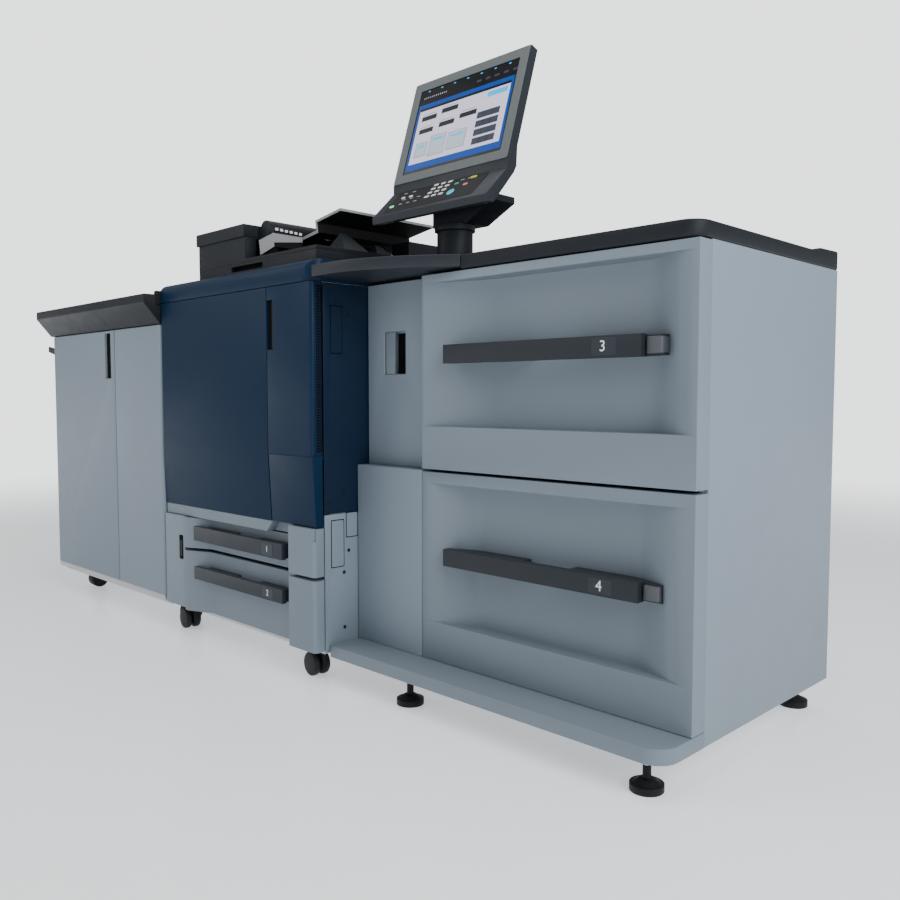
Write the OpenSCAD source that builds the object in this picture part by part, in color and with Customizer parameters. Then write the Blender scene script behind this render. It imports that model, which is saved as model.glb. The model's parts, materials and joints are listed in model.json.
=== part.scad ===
/* [Print engine] */
// Width of the engine body
engine_w = 760; // [720:10:900]
// Depth of the engine body
engine_d = 903; // [760:1:1080]
// Height of the doors' lower edge above the floor
door_z = 395; // [380:5:480]
// Height of the seam between the doors and the top cover
deck_z = 996; // [840:2:1200]
// Height of the engine's top cover
top_cover_h = 54; // [45:1:70]
// Thickness of every hinged door
door_t = 20; // [16:1:24]
// Width of the narrow toner door
toner_door_w = 189; // [150:1:230]
// Height of the lower front cover below the toner door
lower_cover_h = 176; // [145:1:210]
// How far the doors' foot leans back
chin = 9; // [0:1:12]
// Width of the grey pillar left of the paper trays
pillar_w = 116; // [95:1:140]
// Width of the tray column at the right
column_w = 109; // [90:1:130]
// Depth of the recess in the tray fronts
tray_recess = 34; // [26:1:40]

/* [Casters] */
// Diameter of the caster wheels
wheel_d = 62; // [52:1:74]
// Width of one caster wheel
wheel_w = 18; // [14:1:22]
// Distance from the swivel axis to the wheel axle
trail = 28; // [20:1:34]
// Room between the wheels and the base plate
wheel_room = 14; // [11:0.5:17]

/* [Finisher] */
// Width of the finisher body
finisher_w = 826; // [680:2:1000]
// Depth of the finisher body
finisher_d = 723; // [600:1:870]
// Width of the right finisher door
right_door_w = 314; // [260:1:380]
// Height of the finisher doors' lower edge
finisher_door_z = 106; // [104:1:126]
// Height of the finisher doors' upper edge
finisher_door_top = 934; // [780:2:1000]
// Thickness of the finisher's slab
slab_h = 27; // [22:1:34]
// How far the slab stands out in front of the doors
slab_overhang = 50; // [40:1:60]
// How far the exit tray reaches out to the left
exit_tray_reach = 346; // [290:2:420]

/* [Supply cabinet] */
// Width of the relay section between engine and drawers
relay_w = 237; // [200:1:290]
// Width of the drawer section
drawer_w = 707; // [590:1:850]
// Depth of the cabinet from the drawer fronts
cabinet_d = 611; // [510:1:740]
// Distance of the drawer fronts behind the engine's front
cabinet_y = 138; // [115:1:165]
// Height of the cabinet's underside
cabinet_z = 70; // [60:1:84]
// Thickness of the foot tray
foot_tray_h = 30; // [24:1:36]
// Height of the lower drawer front
lower_drawer_h = 441; // [380:1:470]
// Height of the upper drawer front
upper_drawer_h = 446; // [380:1:540]
// Gap between the two drawer fronts
drawer_gap = 7; // [4:1:12]
// Depth of the upper drawer's recess
recess_3 = 55; // [45:1:66]
// Depth of the lower drawer's recess
recess_4 = 44; // [36:1:54]
// Thickness of the top slab
top_slab_h = 32; // [26:1:40]

/* [Scanner and feeder] */
// Width of the scanner body
scanner_w = 580; // [520:5:690]
// Depth of the scanner body
scanner_d = 560; // [470:5:660]
// Height of the scanner body
scanner_h = 40; // [34:1:48]
// Height of the feeder head
head_h = 72; // [60:1:86]
// Height of the feeder cover
feeder_cover_h = 34; // [28:1:42]
// Slope of the document tray
tray_slope = 9; // [7:0.5:11]

/* [Operation panel] */
// Width of the panel housing
panel_w = 387; // [340:1:400]
// Height of the sloped display face
panel_h = 285; // [240:1:340]
// Backward tilt of the display
panel_tilt = 17; // [14:1:20]
// Diameter of the panel column
column_d = 88; // [74:1:104]
// Height of the panel column
column_h = 89; // [74:1:106]
// Radius of the tilt pin
pin_r = 6; // [5:0.5:7]

/* [Hidden] */
$fn = 48;
fit = 0.05;       // radial running clearance of pins and shafts
gap = 3;          // seam between neighbouring covers
seam = 2;         // seam above doors that swing
skin = 4;         // wall of the covers
sheet = 10;       // wall of the frames

// engine
frame_y = 36;                        // front plane of the engine frame
engine_back = engine_d - 13;         // back of the engine frame
base_z = wheel_d + wheel_room;       // underside of the base plates
base_t = 8;
tray_2_z = base_z + base_t + 1;
tray_2_h = 179;
tray_1_z = tray_2_z + tray_2_h + 9;
tray_1_h = 89;
band_h = 30;
band_z = door_z - band_h;
shelf_z = tray_1_z + 12;             // top of the runner shelf of tray 1
tray_x0 = pillar_w + 6;
tray_x1 = engine_w + 4;
tray_box_x0 = tray_x0 + 28;
tray_box_x1 = engine_w - column_w - 11;
toner_x = engine_w - toner_door_w;
cover_top = deck_z + top_cover_h;
plate_y0 = frame_y + 84;             // front process plate
plate_y1 = plate_y0 + 400;           // rear process plate
plate_t = 6;
drum_r = 30;
drum_z = door_z + 255;
drum_x = engine_w / 2 - 200;
drum_pitch = 110;
journal_r = 8;
belt_r = 22;
belt_t = 1.5;
belt_z = drum_z - drum_r - belt_r - 0.3;
fuser_r = 25;
fuser_x = engine_w - 120;
fuser_z = drum_z + 50;
bottle_r = 38;
bottle_z = drum_z + 186;

// casters
swing = 175;
caster_x = [48, engine_w - 56];
caster_y = 68;
rear_wheel_x = [60, engine_w - 60];
rear_wheel_y = engine_back - 90;
axle_r = 5;
stem_r = 6;
fork_t = 8;

// finisher
fin_x1 = -gap - 1;
fin_x0 = fin_x1 - finisher_w;
fin_split = fin_x1 - right_door_w;
fin_top = finisher_door_top + 2;
slab_top = deck_z + slab_h;
carriage_x = fin_x0 + 30;
exit_z = slab_top - 173;

// supply cabinet
relay_x0 = engine_w + gap;
drawer_x0 = relay_x0 + relay_w + seam;
supply_x1 = drawer_x0 + drawer_w;
supply_back = cabinet_y + cabinet_d;
front_t = 45;
frame_front = cabinet_y + front_t;
drawer_4_z = cabinet_z + foot_tray_h + 1;
drawer_3_z = drawer_4_z + lower_drawer_h + drawer_gap;
drawer_3_top = drawer_3_z + upper_drawer_h;
slab_z = drawer_3_top + 3;
relay_step_z = drawer_4_z + lower_drawer_h + 3;
relay_y = cabinet_y + 37;
relay_back = relay_y + door_t + 2;
box_lift = 20;
handle_t = 22;
handle_h = 42;
handle_proud = 12;
foot_y0 = 44;
foot_r = 32;
foot_tray_floor = cabinet_z + foot_tray_h - 6;   // underside of the foot tray's plate
foot_x = [drawer_x0 + 4, supply_x1 - 65];

// scanner and feeder
scan_x0 = engine_w / 2 - 285;
scan_x1 = scan_x0 + scanner_w;
scan_y0 = 80;
scan_y1 = scan_y0 + scanner_d;
scan_z = cover_top;
feed_z = scan_z + scanner_h;
head_w = 250;
lid_z = feed_z + head_h;
plate_h = 10;
tray_z = feed_z + 52;
tray_x = scan_x0 + head_w + 44;
feed_pin_y = scan_y1 - 4;            // hinge at the feeder's back
feed_pin_z = feed_z + 8;
lid_pin_x = scan_x0 - 5;             // hinge at the feeder cover's left
lid_pin_z = lid_z - 6;
knuckle_r = 7;
lid_knuckle_r = 5;
tray_len = scan_x1 - tray_x - 40;
tray_front = scan_y0 + 20;
guide_h = 26;
pickup_x = scan_x0 + head_w - 60;
pickup_z = lid_z + 4;
pickup_bearings = [scan_y0 + 150, scan_y1 - 220];

// operation panel
post_x = relay_x0 + relay_w - 40;
post_y = cabinet_y + 152;
shelf_top = slab_z + 33;
arm_z = shelf_top + column_h;
tilt_y = post_y + 10;
tilt_z = arm_z + 92;
panel_x0 = post_x - panel_w / 2 + 12;
panel_x1 = panel_x0 + panel_w;
face_y = tilt_y - 50;                // lower edge of the display face
face_z = tilt_z + 41;
face_top_y = face_y + panel_h * sin(panel_tilt);
face_top_z = face_z + panel_h * cos(panel_tilt);
deck_a = 45;
deck_len = 99;
deck_y = face_y;
deck_z0 = face_z - 20;
screen_w = 334;
screen_h = 236;
screen_t = 3;

// the whole machine
x_min = fin_x0 - exit_tray_reach;
x_max = supply_x1;
mid_x = (x_min + x_max) / 2;
mid_y = (engine_d - slab_overhang) / 2;

// ---- shared shapes ----

// Puts the origin on the floor below the middle of the machine
module placed() translate([-mid_x, -mid_y, 0]) children();

// Box between two corners
module block(a, b) translate(a) cube(b - a);

// Cylinder along Y between two depths
module shaft_y(x, z, y0, y1, r) translate([x, y0, z]) rotate([-90, 0, 0]) cylinder(r = r, h = y1 - y0);

// Cylinder along X between two sides
module shaft_x(y, z, x0, x1, r) translate([x0, y, z]) rotate([0, 90, 0]) cylinder(r = r, h = x1 - x0);

// Profile of Y and Z points drawn out along X
module along_x(x0, x1, points)
    translate([x0, 0, 0]) rotate([90, 0, 90]) linear_extrude(x1 - x0) polygon(points);

// Profile of X and Z points drawn out along Y
module along_y(y0, y1, points)
    translate([0, y1, 0]) rotate([90, 0, 0]) linear_extrude(y1 - y0) polygon(points);

// Door leaf with a half-round hinge edge, hinged at its left or its right side
module leaf(x0, x1, y0, z0, z1, hinge) {
    r = door_t / 2;
    left = hinge == "left";
    block([left ? x0 + r : x0, y0, z0], [left ? x1 : x1 - r, y0 + door_t, z1]);
    translate([left ? x0 + r : x1 - r, y0 + r, z0]) cylinder(r = r, h = z1 - z0);
}

// Wedge that leans the foot of a door back
module chin_cut(x0, x1)
    along_x(x0, x1, [[-1, door_z - 1], [chin, door_z - 1], [chin, door_z], [0, door_z + lower_cover_h],
        [-1, door_z + lower_cover_h]]);

// ---- print engine ----

module engine_frame() color("silver") placed() difference() {
    union() {
        block([6, frame_y, base_z], [engine_w - skin, engine_back, base_z + base_t]);
        block([6, frame_y, base_z], [6 + sheet, engine_back, deck_z]);
        block([engine_w - skin - sheet, frame_y + 18, base_z], [engine_w - skin, engine_back, deck_z]);
        block([6, frame_y, deck_z - sheet], [engine_w - skin, engine_back, deck_z]);
        block([6, frame_y, door_z - sheet], [engine_w - skin, engine_back, door_z]);
        block([6, frame_y + 24, shelf_z - 6], [engine_w - skin, plate_y1, shelf_z]);
        block([6, plate_y0 - plate_t, door_z - 1], [engine_w - skin, plate_y0, deck_z - 1]);
        block([6, plate_y1, door_z - 1], [engine_w - skin, plate_y1 + plate_t, deck_z - 1]);
        block([6, plate_y0 - 1, bottle_z - 6], [engine_w - 210, plate_y1 + 1, bottle_z]);
        block([fin_x1, plate_y1 - 60, drum_z], [7, plate_y1 - 20, drum_z + 40]);
        for (x = rear_wheel_x)
            block([x - fork_t / 2, rear_wheel_y - 20, wheel_d / 2 - 14], [x + fork_t / 2, rear_wheel_y + 20, base_z + 1]);
    }
    for (i = [0:3]) shaft_y(drum_x + i * drum_pitch, drum_z, plate_y0 - 20, plate_y1 + 20, journal_r + fit);
    for (x = [drum_x - 20, drum_x + 3 * drum_pitch + 20])
        shaft_y(x, belt_z, plate_y0 - 20, plate_y1 + 20, journal_r + fit);
    for (z = [fuser_z, fuser_z - 2 * fuser_r - 0.6])
        shaft_y(fuser_x, z, plate_y0 - 20, plate_y1 + 20, journal_r + fit);
    for (x = caster_x) translate([x, caster_y, base_z - 1]) cylinder(r = stem_r + fit, h = base_t + 2);
    for (x = rear_wheel_x) shaft_x(rear_wheel_y, wheel_d / 2, x - 20, x + 20, axle_r + fit);
}

module engine_rear_cover() color("slategray") placed() {
    inlet_x = engine_w - 130;
    inlet_z = tray_2_z + 40;
    difference() {
        block([0, engine_back, tray_2_z], [engine_w, engine_d, deck_z - seam]);
        block([sheet, engine_back - 1, tray_2_z + sheet], [engine_w - sheet, engine_d - skin, deck_z - seam - sheet]);
        for (i = [0:11])
            block([90 + i * 24, engine_d - sheet, deck_z - 220], [100 + i * 24, engine_d + 1, deck_z - 90]);
        block([inlet_x, engine_d - sheet, inlet_z], [inlet_x + 30, engine_d + 1, inlet_z + 22]);
    }
    difference() {
        block([inlet_x - 6, engine_back, inlet_z - 6], [inlet_x + 36, engine_d - skin, inlet_z + 28]);
        block([inlet_x, engine_back + 2, inlet_z], [inlet_x + 30, engine_d, inlet_z + 22]);
    }
    for (i = [0:2])
        shaft_y(inlet_x + 8 + i * 7, inlet_z + (i == 1 ? 14 : 8), engine_back + 1, engine_d - skin, 1.5);
}

// Outline of the top cover: front edge rounded in profile and right front corner rounded in plan
module cover_body(inset, lift) {
    r = 30;
    intersection() {
        along_x(inset, engine_w - inset, concat(
            [[engine_d - inset, deck_z - lift], [inset, deck_z - lift]],
            [for (a = [180:-10:90]) [inset + r + r * cos(a), cover_top - inset - r + r * sin(a)]],
            [[engine_d - inset, cover_top - inset]]));
        translate([0, 0, deck_z - 5]) linear_extrude(top_cover_h + 10) {
            translate([-1, inset]) square([engine_w - 39 - inset, engine_d]);
            translate([-1, inset + 40]) square([engine_w + 1 - inset, engine_d]);
            translate([engine_w - 40 - inset, inset + 40]) circle(r = 40);
        }
    }
}

module engine_top_cover() color("steelblue") placed() difference() {
    cover_body(0, 0);
    cover_body(skin, 1);
}

module left_pillar() color("lightslategray") placed() difference() {
    block([skin, 2, base_z + base_t + 6], [skin + pillar_w, frame_y, band_z - 1]);
    block([2 * skin, 2 + skin, base_z + base_t + 2 * skin], [pillar_w, frame_y + 1, band_z - 2 * skin]);
}

module lower_band() color("lightsteelblue") placed()
    along_y(chin, frame_y, [[skin, band_z], [toner_x - 26, band_z], [toner_x, door_z], [skin, door_z]]);

module lower_front_cover() color("darkslateblue") placed() {
    top = door_z + lower_cover_h;
    difference() {
        block([toner_x, 0, door_z], [engine_w, door_t, top]);
        chin_cut(toner_x - 1, engine_w + 1);
    }
    for (z = [door_z + 30, top - 60]) block([toner_x + 40, door_t - 1, z], [toner_x + 70, frame_y, z + 20]);
    block([engine_w - skin, chin, door_z], [engine_w, frame_y - 4, top]);
    for (z = [door_z, top - 12]) block([engine_w - 40, door_t - 1, z], [engine_w - skin, frame_y + 18, z + 12]);
}

module side_cover_upper() color("midnightblue") placed() difference() {
    block([engine_w - skin, frame_y, door_z + 31], [engine_w, engine_back, deck_z - seam]);
    block([engine_w - 1, frame_y + 24, deck_z - 174], [engine_w + 1, frame_y + 26, deck_z - 58]);
    block([engine_w - 1, frame_y + 58, deck_z - 174], [engine_w + 1, frame_y + 60, deck_z - 58]);
}

module side_cover_lower() color("slategray") placed() difference() {
    block([engine_w - skin, frame_y, tray_2_z], [engine_w, engine_back, door_z + 29]);
    block([engine_w - 1, frame_y + 22, tray_1_z], [engine_w + 1, frame_y + 24, door_z]);
}

module front_door() color("steelblue") placed() difference() {
    leaf(0, toner_x - gap, 0, door_z, deck_z - seam, "left");
    chin_cut(-1, toner_x);
}

module toner_door() color("steelblue") placed() {
    z0 = door_z + lower_cover_h;
    z1 = deck_z - seam;
    difference() {
        union() {
            leaf(toner_x, engine_w, 0, z0, z1, "right");
            block([engine_w - skin, door_t / 2, z0], [engine_w, frame_y - 5, z1]);
        }
        block([toner_x - 1, -1, deck_z - 160], [toner_x + 28, 12, deck_z - 35]);
        for (row = [0:15])
            block([engine_w - skin - 1, door_t + 1, z0 + 12 + row * 25],
                [engine_w + 1, frame_y - 7, z0 + 26 + row * 25]);
    }
}

// Plan of a tray front: recessed middle and a full-depth column at the right
function tray_plan() = [
    [tray_x0, 0], [tray_x0 + 19, 0], [tray_x0 + 97, tray_recess], [engine_w - column_w + 4, tray_recess],
    [engine_w - column_w + 4, 0], [tray_x1 - 7, 0], [tray_x1, 7], [tray_x1, 30], [engine_w - skin - 1, 30],
    [engine_w - skin - 1, tray_recess + 14], [tray_x0, tray_recess + 14]];

module tray_box(z0, z1) difference() {
    block([tray_box_x0, tray_recess + 10, z0], [tray_box_x1, plate_y1 - 20, z1]);
    block([tray_box_x0 + 3, tray_recess + 14, z0 + 3], [tray_box_x1 - 3, plate_y1 - 23, z1 + 1]);
}

module tray_1() color("lightsteelblue") placed() {
    translate([0, 0, tray_1_z]) linear_extrude(tray_1_h) polygon(tray_plan());
    block([engine_w - column_w + 4, 0, tray_1_z], [tray_x1 - 7, 30, door_z - 2]);
    block([engine_w - column_w + 4, 7, tray_1_z], [tray_x1, 30, door_z - 2]);
    tray_box(shelf_z, tray_1_z + 77);
}

module tray_2() color("lightsteelblue") placed() {
    translate([0, 0, tray_2_z]) linear_extrude(tray_2_h) polygon(tray_plan());
    tray_box(base_z + base_t, tray_2_z + 160);
}

// Thin bar in front of two wide brackets, with room for fingers between them
module tray_handle(z0, h) {
    for (x = [[tray_x0 + 99, tray_x0 + 256], [engine_w - column_w - 161, engine_w - column_w - 31]])
        block([x[0], 10, z0 + 2], [x[1], tray_recess, z0 + h - 2]);
    block([tray_x0 + 56, 0, z0], [engine_w - column_w - 26, 14, z0 + h]);
}

module tray_1_handle() color("dimgray") placed() tray_handle(tray_1_z + 26, handle_h);
module tray_2_handle() color("dimgray") placed() tray_handle(tray_2_z + 101, handle_h - 5);

// Swivelling hood of a twin-wheel caster, with its stem on the swivel axis
module caster_fork(x) color("black") placed() translate([x, caster_y, 0]) rotate([0, 0, swing]) {
    difference() {
        union() {
            block([-10, -fork_t / 2, wheel_d / 2 - 14], [trail + 14, fork_t / 2, base_z - 0.3]);
            translate([0, 0, base_z - 2]) cylinder(r = 14, h = 1.7);
        }
        shaft_y(trail, wheel_d / 2, -20, 20, axle_r + fit);
    }
    translate([0, 0, base_z - 2]) cylinder(r = stem_r, h = base_t + 1);
}

// Two wheels on one axle through the hood
module wheel_pair() {
    shaft_y(0, wheel_d / 2, -fork_t / 2 - 2, fork_t / 2 + 2, axle_r);
    for (side = [0, 1]) mirror([0, side, 0])
        shaft_y(0, wheel_d / 2, fork_t / 2 + 1, fork_t / 2 + 1 + wheel_w, wheel_d / 2);
}

module caster_wheels(x) color("black") placed()
    translate([x, caster_y, 0]) rotate([0, 0, swing]) translate([trail, 0, 0]) wheel_pair();

module rear_wheels(x) color("black") placed()
    translate([x, rear_wheel_y, 0]) rotate([0, 0, 90]) wheel_pair();

module drum_units() color("darkslategray") placed() for (i = [0:3]) {
    x = drum_x + i * drum_pitch;
    shaft_y(x, drum_z, plate_y0 + 1, plate_y1 - 1, drum_r);
    shaft_y(x, drum_z, plate_y0 - plate_t, plate_y1 + plate_t, journal_r);
}

module belt_outline(r) {
    for (x = [drum_x - 20, drum_x + 3 * drum_pitch + 20]) translate([x, -belt_z]) circle(r = r);
    translate([drum_x - 20, -belt_z - r]) square([3 * drum_pitch + 40, 2 * r]);
}

module transfer_belt() color("black") placed() {
    translate([0, plate_y0 + 10, 0]) rotate([-90, 0, 0]) linear_extrude(plate_y1 - plate_y0 - 20) difference() {
        belt_outline(belt_r);
        belt_outline(belt_r - belt_t);
    }
    for (x = [drum_x - 20, drum_x + 3 * drum_pitch + 20]) {
        shaft_y(x, belt_z, plate_y0 + 4, plate_y1 - 4, belt_r - belt_t - 0.3);
        shaft_y(x, belt_z, plate_y0 - plate_t, plate_y1 + plate_t, journal_r);
    }
}

module fuser_pair(z) {
    shaft_y(fuser_x, z, plate_y0 + 4, plate_y1 - 4, fuser_r);
    shaft_y(fuser_x, z, plate_y0 - plate_t, plate_y1 + plate_t, journal_r);
}

module fuser_roller() color("saddlebrown") placed() fuser_pair(fuser_z);
module pressure_roller() color("brown") placed() fuser_pair(fuser_z - 2 * fuser_r - 0.6);

module toner_bottles() color("ivory") placed() for (i = [0:3]) {
    x = drum_x - 30 + i * 100;
    shaft_y(x, bottle_z + bottle_r + 0.3, plate_y0 + 10, plate_y1 - 30, bottle_r);
    shaft_y(x, bottle_z + bottle_r + 0.3, plate_y1 - 31, plate_y1 - 6, bottle_r / 2);
}

// ---- scanner and feeder ----

// Places of the two hinges at the feeder's back
feed_hinge_x = [scan_x0 + 60, scan_x1 - 90];

module scanner_body() color("dimgray") placed() {
    scanner_case();
    for (x = feed_hinge_x) {
        for (side = [0, 40]) {
            block([x + side, feed_pin_y - knuckle_r, feed_z - 6], [x + side + 9, feed_pin_y + knuckle_r, feed_pin_z]);
            shaft_x(feed_pin_y, feed_pin_z, x + side, x + side + 9, knuckle_r);
        }
        shaft_x(feed_pin_y, feed_pin_z, x, x + 49, knuckle_r - 3);
    }
}

module scanner_case() difference() {
    block([scan_x0, scan_y0, scan_z], [scan_x1, scan_y1, feed_z]);
    block([scan_x0 + skin, scan_y0 + 24, scan_z + skin], [scan_x1 - skin, scan_y1 - skin, feed_z - 2 * skin]);
    block([scan_x0 + 60, scan_y0 + 60, feed_z - 10], [scan_x1 - 60, scan_y1 - 140, feed_z + 1]);
    block([scan_x0 + 56, scan_y0 + 56, feed_z - 3], [scan_x1 - 56, scan_y1 - 136, feed_z + 1]);
    block([scan_x0 + 179, scan_y0 - 1, feed_z - 22], [scan_x0 + 337, scan_y0 + 18, feed_z - 8]);
}

module platen_glass() color("lightcyan") placed()
    block([scan_x0 + 57, scan_y0 + 57, feed_z - 3], [scan_x1 - 57, scan_y1 - 137, feed_z]);

module paper_stop(x, y, w, d, h) translate([x, y, feed_z + plate_h - 1]) hull() {
    cube([w, d, 1]);
    translate([w * 0.45, d * 0.3, h]) cube([2, d * 0.2, 1]);
}

// Places of the two hinges at the feeder cover's left
lid_hinge_y = [scan_y0 + 60, scan_y1 - 150];

module feeder_body() color("dimgray") placed() {
    block([scan_x0, scan_y0, feed_z], [scan_x1, scan_y1 - 12, feed_z + plate_h]);
    difference() {
        block([scan_x0, scan_y0, feed_z], [scan_x0 + head_w, scan_y1 - 40, lid_z]);
        block([scan_x0 + skin, scan_y0 + skin, feed_z + skin],
            [scan_x0 + head_w + 1, scan_y1 - 40 - skin, lid_z - skin]);
        block([scan_x0 + 120, scan_y0 + 50, lid_z - 9], [scan_x0 + head_w - 20, scan_y1 - 90, lid_z + 1]);
    }
    block([scan_x0 + head_w - skin, scan_y0, feed_z + 1], [scan_x0 + head_w, scan_y0 + 38, lid_z]);
    block([scan_x1 - 130, scan_y1 - 190, feed_z], [scan_x1 - 58, scan_y1 - 30, tray_z + 18]);
    paper_stop(scan_x1 - 118, scan_y0 + 110, 96, 90, 56);
    paper_stop(scan_x1 - 100, scan_y0 + 230, 70, 70, 36);
    for (x = feed_hinge_x) difference() {
        union() {
            block([x + 9.3, scan_y1 - 13, feed_z + 1], [x + 39.7, feed_pin_y, feed_z + plate_h]);
            shaft_x(feed_pin_y, feed_pin_z, x + 9.3, x + 39.7, knuckle_r);
        }
        shaft_x(feed_pin_y, feed_pin_z, x + 9, x + 40, knuckle_r - 3 + fit);
    }
    for (y = lid_hinge_y) {
        for (side = [0, 30]) {
            block([lid_pin_x, y + side, lid_pin_z - lid_knuckle_r], [scan_x0 + 1, y + side + 10, lid_pin_z + lid_knuckle_r]);
            shaft_y(lid_pin_x, lid_pin_z, y + side, y + side + 10, lid_knuckle_r);
        }
        shaft_y(lid_pin_x, lid_pin_z, y, y + 40, lid_knuckle_r - 2);
    }
    for (y = [scan_y0 + 60, scan_y1 - 200])
        along_y(y, y + 10, [[scan_x0 + head_w - 1, feed_z + 1], [tray_x + 30, feed_z + 1],
            [tray_x + 30, tray_z + 30 * tan(tray_slope)], [tray_x, tray_z], [scan_x0 + head_w - 1, tray_z]]);
    for (y = pickup_bearings) difference() {
        union() {
            block([scan_x0 + 119, y, lid_z - skin], [scan_x0 + head_w - 19, y + 10, lid_z]);
            block([pickup_x - 9, y, lid_z - skin], [pickup_x + 9, y + 10, lid_z + 13]);
        }
        shaft_y(pickup_x, pickup_z, y - 1, y + 11, 4 + fit);
    }
}

module feeder_cover() color("dimgray") placed() {
    difference() {
        union() {
            block([scan_x0 - 8, scan_y0 - 4, lid_z], [scan_x0 + head_w + 2, scan_y1 - 40, lid_z + feeder_cover_h]);
            block([scan_x0 + head_w, scan_y0 + 42, lid_z - 8], [tray_x - 2, scan_y1 - 60, lid_z + 20]);
            shaft_y(tray_x - 4, lid_z + 20, scan_y0 + 42, scan_y1 - 60, 24);
        }
        block([scan_x0 - skin, scan_y0, lid_z - 1],
            [scan_x0 + head_w - 2, scan_y1 - 44, lid_z + feeder_cover_h - skin]);
        block([scan_x0 + head_w + 6, scan_y0 + 48, lid_z - 9], [tray_x - 8, scan_y1 - 66, lid_z + 4]);
    }
    for (y = lid_hinge_y) difference() {
        union() {
            block([scan_x0 - 8, y + 10.3, lid_pin_z], [scan_x0 - skin, y + 29.7, lid_z + 1]);
            shaft_y(lid_pin_x, lid_pin_z, y + 10.3, y + 29.7, lid_knuckle_r);
        }
        shaft_y(lid_pin_x, lid_pin_z, y + 10, y + 30, lid_knuckle_r - 2 + fit);
    }
}

// Turns the tray's own flat frame up to its slope
module tray_frame() translate([tray_x, tray_front, tray_z]) rotate([0, -tray_slope, 0]) children();

module document_tray() color("gray") placed() tray_frame() difference() {
    union() {
        cube([68, 97, 6]);
        translate([0, 96, 0]) cube([142, scan_y1 - 200 - tray_front, 6]);
        translate([0, 5, 0]) rotate([90, 0, 0]) linear_extrude(5) polygon([[0, -36], [68, -31], [68, 6], [0, 6]]);
        translate([63, 0, -31]) cube([5, 96, 32]);
        translate([137, 96, 0]) cube([5, scan_y1 - 200 - tray_front, 34]);
        translate([137, 96, 27]) cube([tray_len - 137, scan_y1 - 200 - tray_front, 7]);
    }
    for (y = [150, 290]) translate([90, y, -1]) cube([8, 90, 8]);
}

// Paper guide: upright wall, foot and the key that runs in the tray's slot
module guide_shape() {
    translate([40, 0, 6]) cube([90, 4, guide_h]);
    translate([86, 0, 6]) cube([16, 24, 3]);
    translate([90.5, 10, 0]) cube([7, 12, 7]);
}

module guide_front() color("whitesmoke") placed() tray_frame() translate([0, 150, 0]) guide_shape();
module guide_rear() color("whitesmoke") placed() tray_frame() translate([0, 380, 0]) mirror([0, 1, 0]) guide_shape();

module pickup_roller() color("darkslategray") placed() {
    shaft_y(pickup_x, pickup_z, pickup_bearings[0] + 20, pickup_bearings[1] - 10, 16);
    shaft_y(pickup_x, pickup_z, pickup_bearings[0], pickup_bearings[1] + 10, 4);
}

// ---- finisher ----

module finisher_frame() color("silver") placed() {
    block([fin_x0 + skin, door_t + 4, base_z], [fin_x1 - skin, finisher_d - skin, finisher_door_z - 2]);
    block([fin_x0 + skin, 2, finisher_door_z - 16], [fin_x1 - skin, door_t + 5, finisher_door_z]);
    for (x = [fin_x0 + skin, fin_x1 - skin - 30], y = [door_t + 4, finisher_d - skin - 30])
        block([x, y, finisher_door_z - 3], [x + 30, y + 30, fin_top]);
    block([fin_x0 + skin, door_t + 4, fin_top - sheet], [fin_x1 - skin, finisher_d - skin, fin_top]);
    for (y = [150, finisher_d - 190])
        block([carriage_x, y, finisher_door_z - 3], [carriage_x + 12, y + 20, fin_top - 1]);
}

module finisher_shell() color("lightslategray") placed() difference() {
    block([fin_x0, door_t + 2, base_z + 10], [fin_x1, finisher_d, fin_top]);
    block([fin_x0 + skin, door_t + 1, base_z + 9], [fin_x1 - skin, finisher_d - skin, fin_top + 1]);
    block([fin_x0 - 1, 110, exit_z - 380], [fin_x0 + skin + 1, finisher_d - 130, exit_z + 60]);
}

module finisher_top_cover() color("dimgray") placed() difference() {
    along_x(fin_x0 - 21, fin_x1 + 2, [[-slab_overhang, deck_z], [0, fin_top], [finisher_d, fin_top],
        [finisher_d, slab_top], [-slab_overhang, slab_top]]);
    along_x(fin_x0, fin_x1 - skin, [[5 - slab_overhang, deck_z + 2], [6, fin_top - 1],
        [finisher_d - 5, fin_top - 1], [finisher_d - 5, slab_top - 5], [5 - slab_overhang, slab_top - 5]]);
}

module finisher_left_door() color("lightslategray") placed() difference() {
    leaf(fin_x0, fin_split - gap, 0, finisher_door_z, finisher_door_top, "left");
    block([fin_split - 75, -1, finisher_door_top - 157], [fin_split - 32, 14, finisher_door_top - 8]);
}

module finisher_right_door() color("lightslategray") placed()
    leaf(fin_split, fin_x1, 0, finisher_door_z, finisher_door_top, "right");

module finisher_exit_tray() color("black") placed() {
    x0 = x_min;
    for (y = [112, finisher_d - 142])
        along_y(y, y + 6, [[x0, exit_z + 50], [fin_x0 - 4, exit_z - 20], [fin_x0 - 4, exit_z + 10], [x0, exit_z + 68]]);
    along_y(112, finisher_d - 136, [[x0, exit_z + 46], [fin_x0 - 4, exit_z - 24], [fin_x0 - 4, exit_z - 16],
        [x0, exit_z + 54]]);
    for (y = [150, finisher_d - 190])
        block([fin_x0 - 5, y, exit_z - 24], [carriage_x, y + 20, exit_z + 10]);
}

// Casters of the finisher, each a bracket with its wheel
module finisher_casters() color("black") placed()
    for (x = [fin_x0 + 60, fin_x1 - 60], y = [120, finisher_d - 70]) {
        block([x - 20, y - 12, base_z - 8], [x + 20, y + 12, base_z]);
        block([x - 4, y - 10, 20], [x + 4, y + 10, base_z - 7]);
        shaft_x(y, 30, x - 20, x + 20, 30);
    }

// ---- supply cabinet ----

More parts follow.
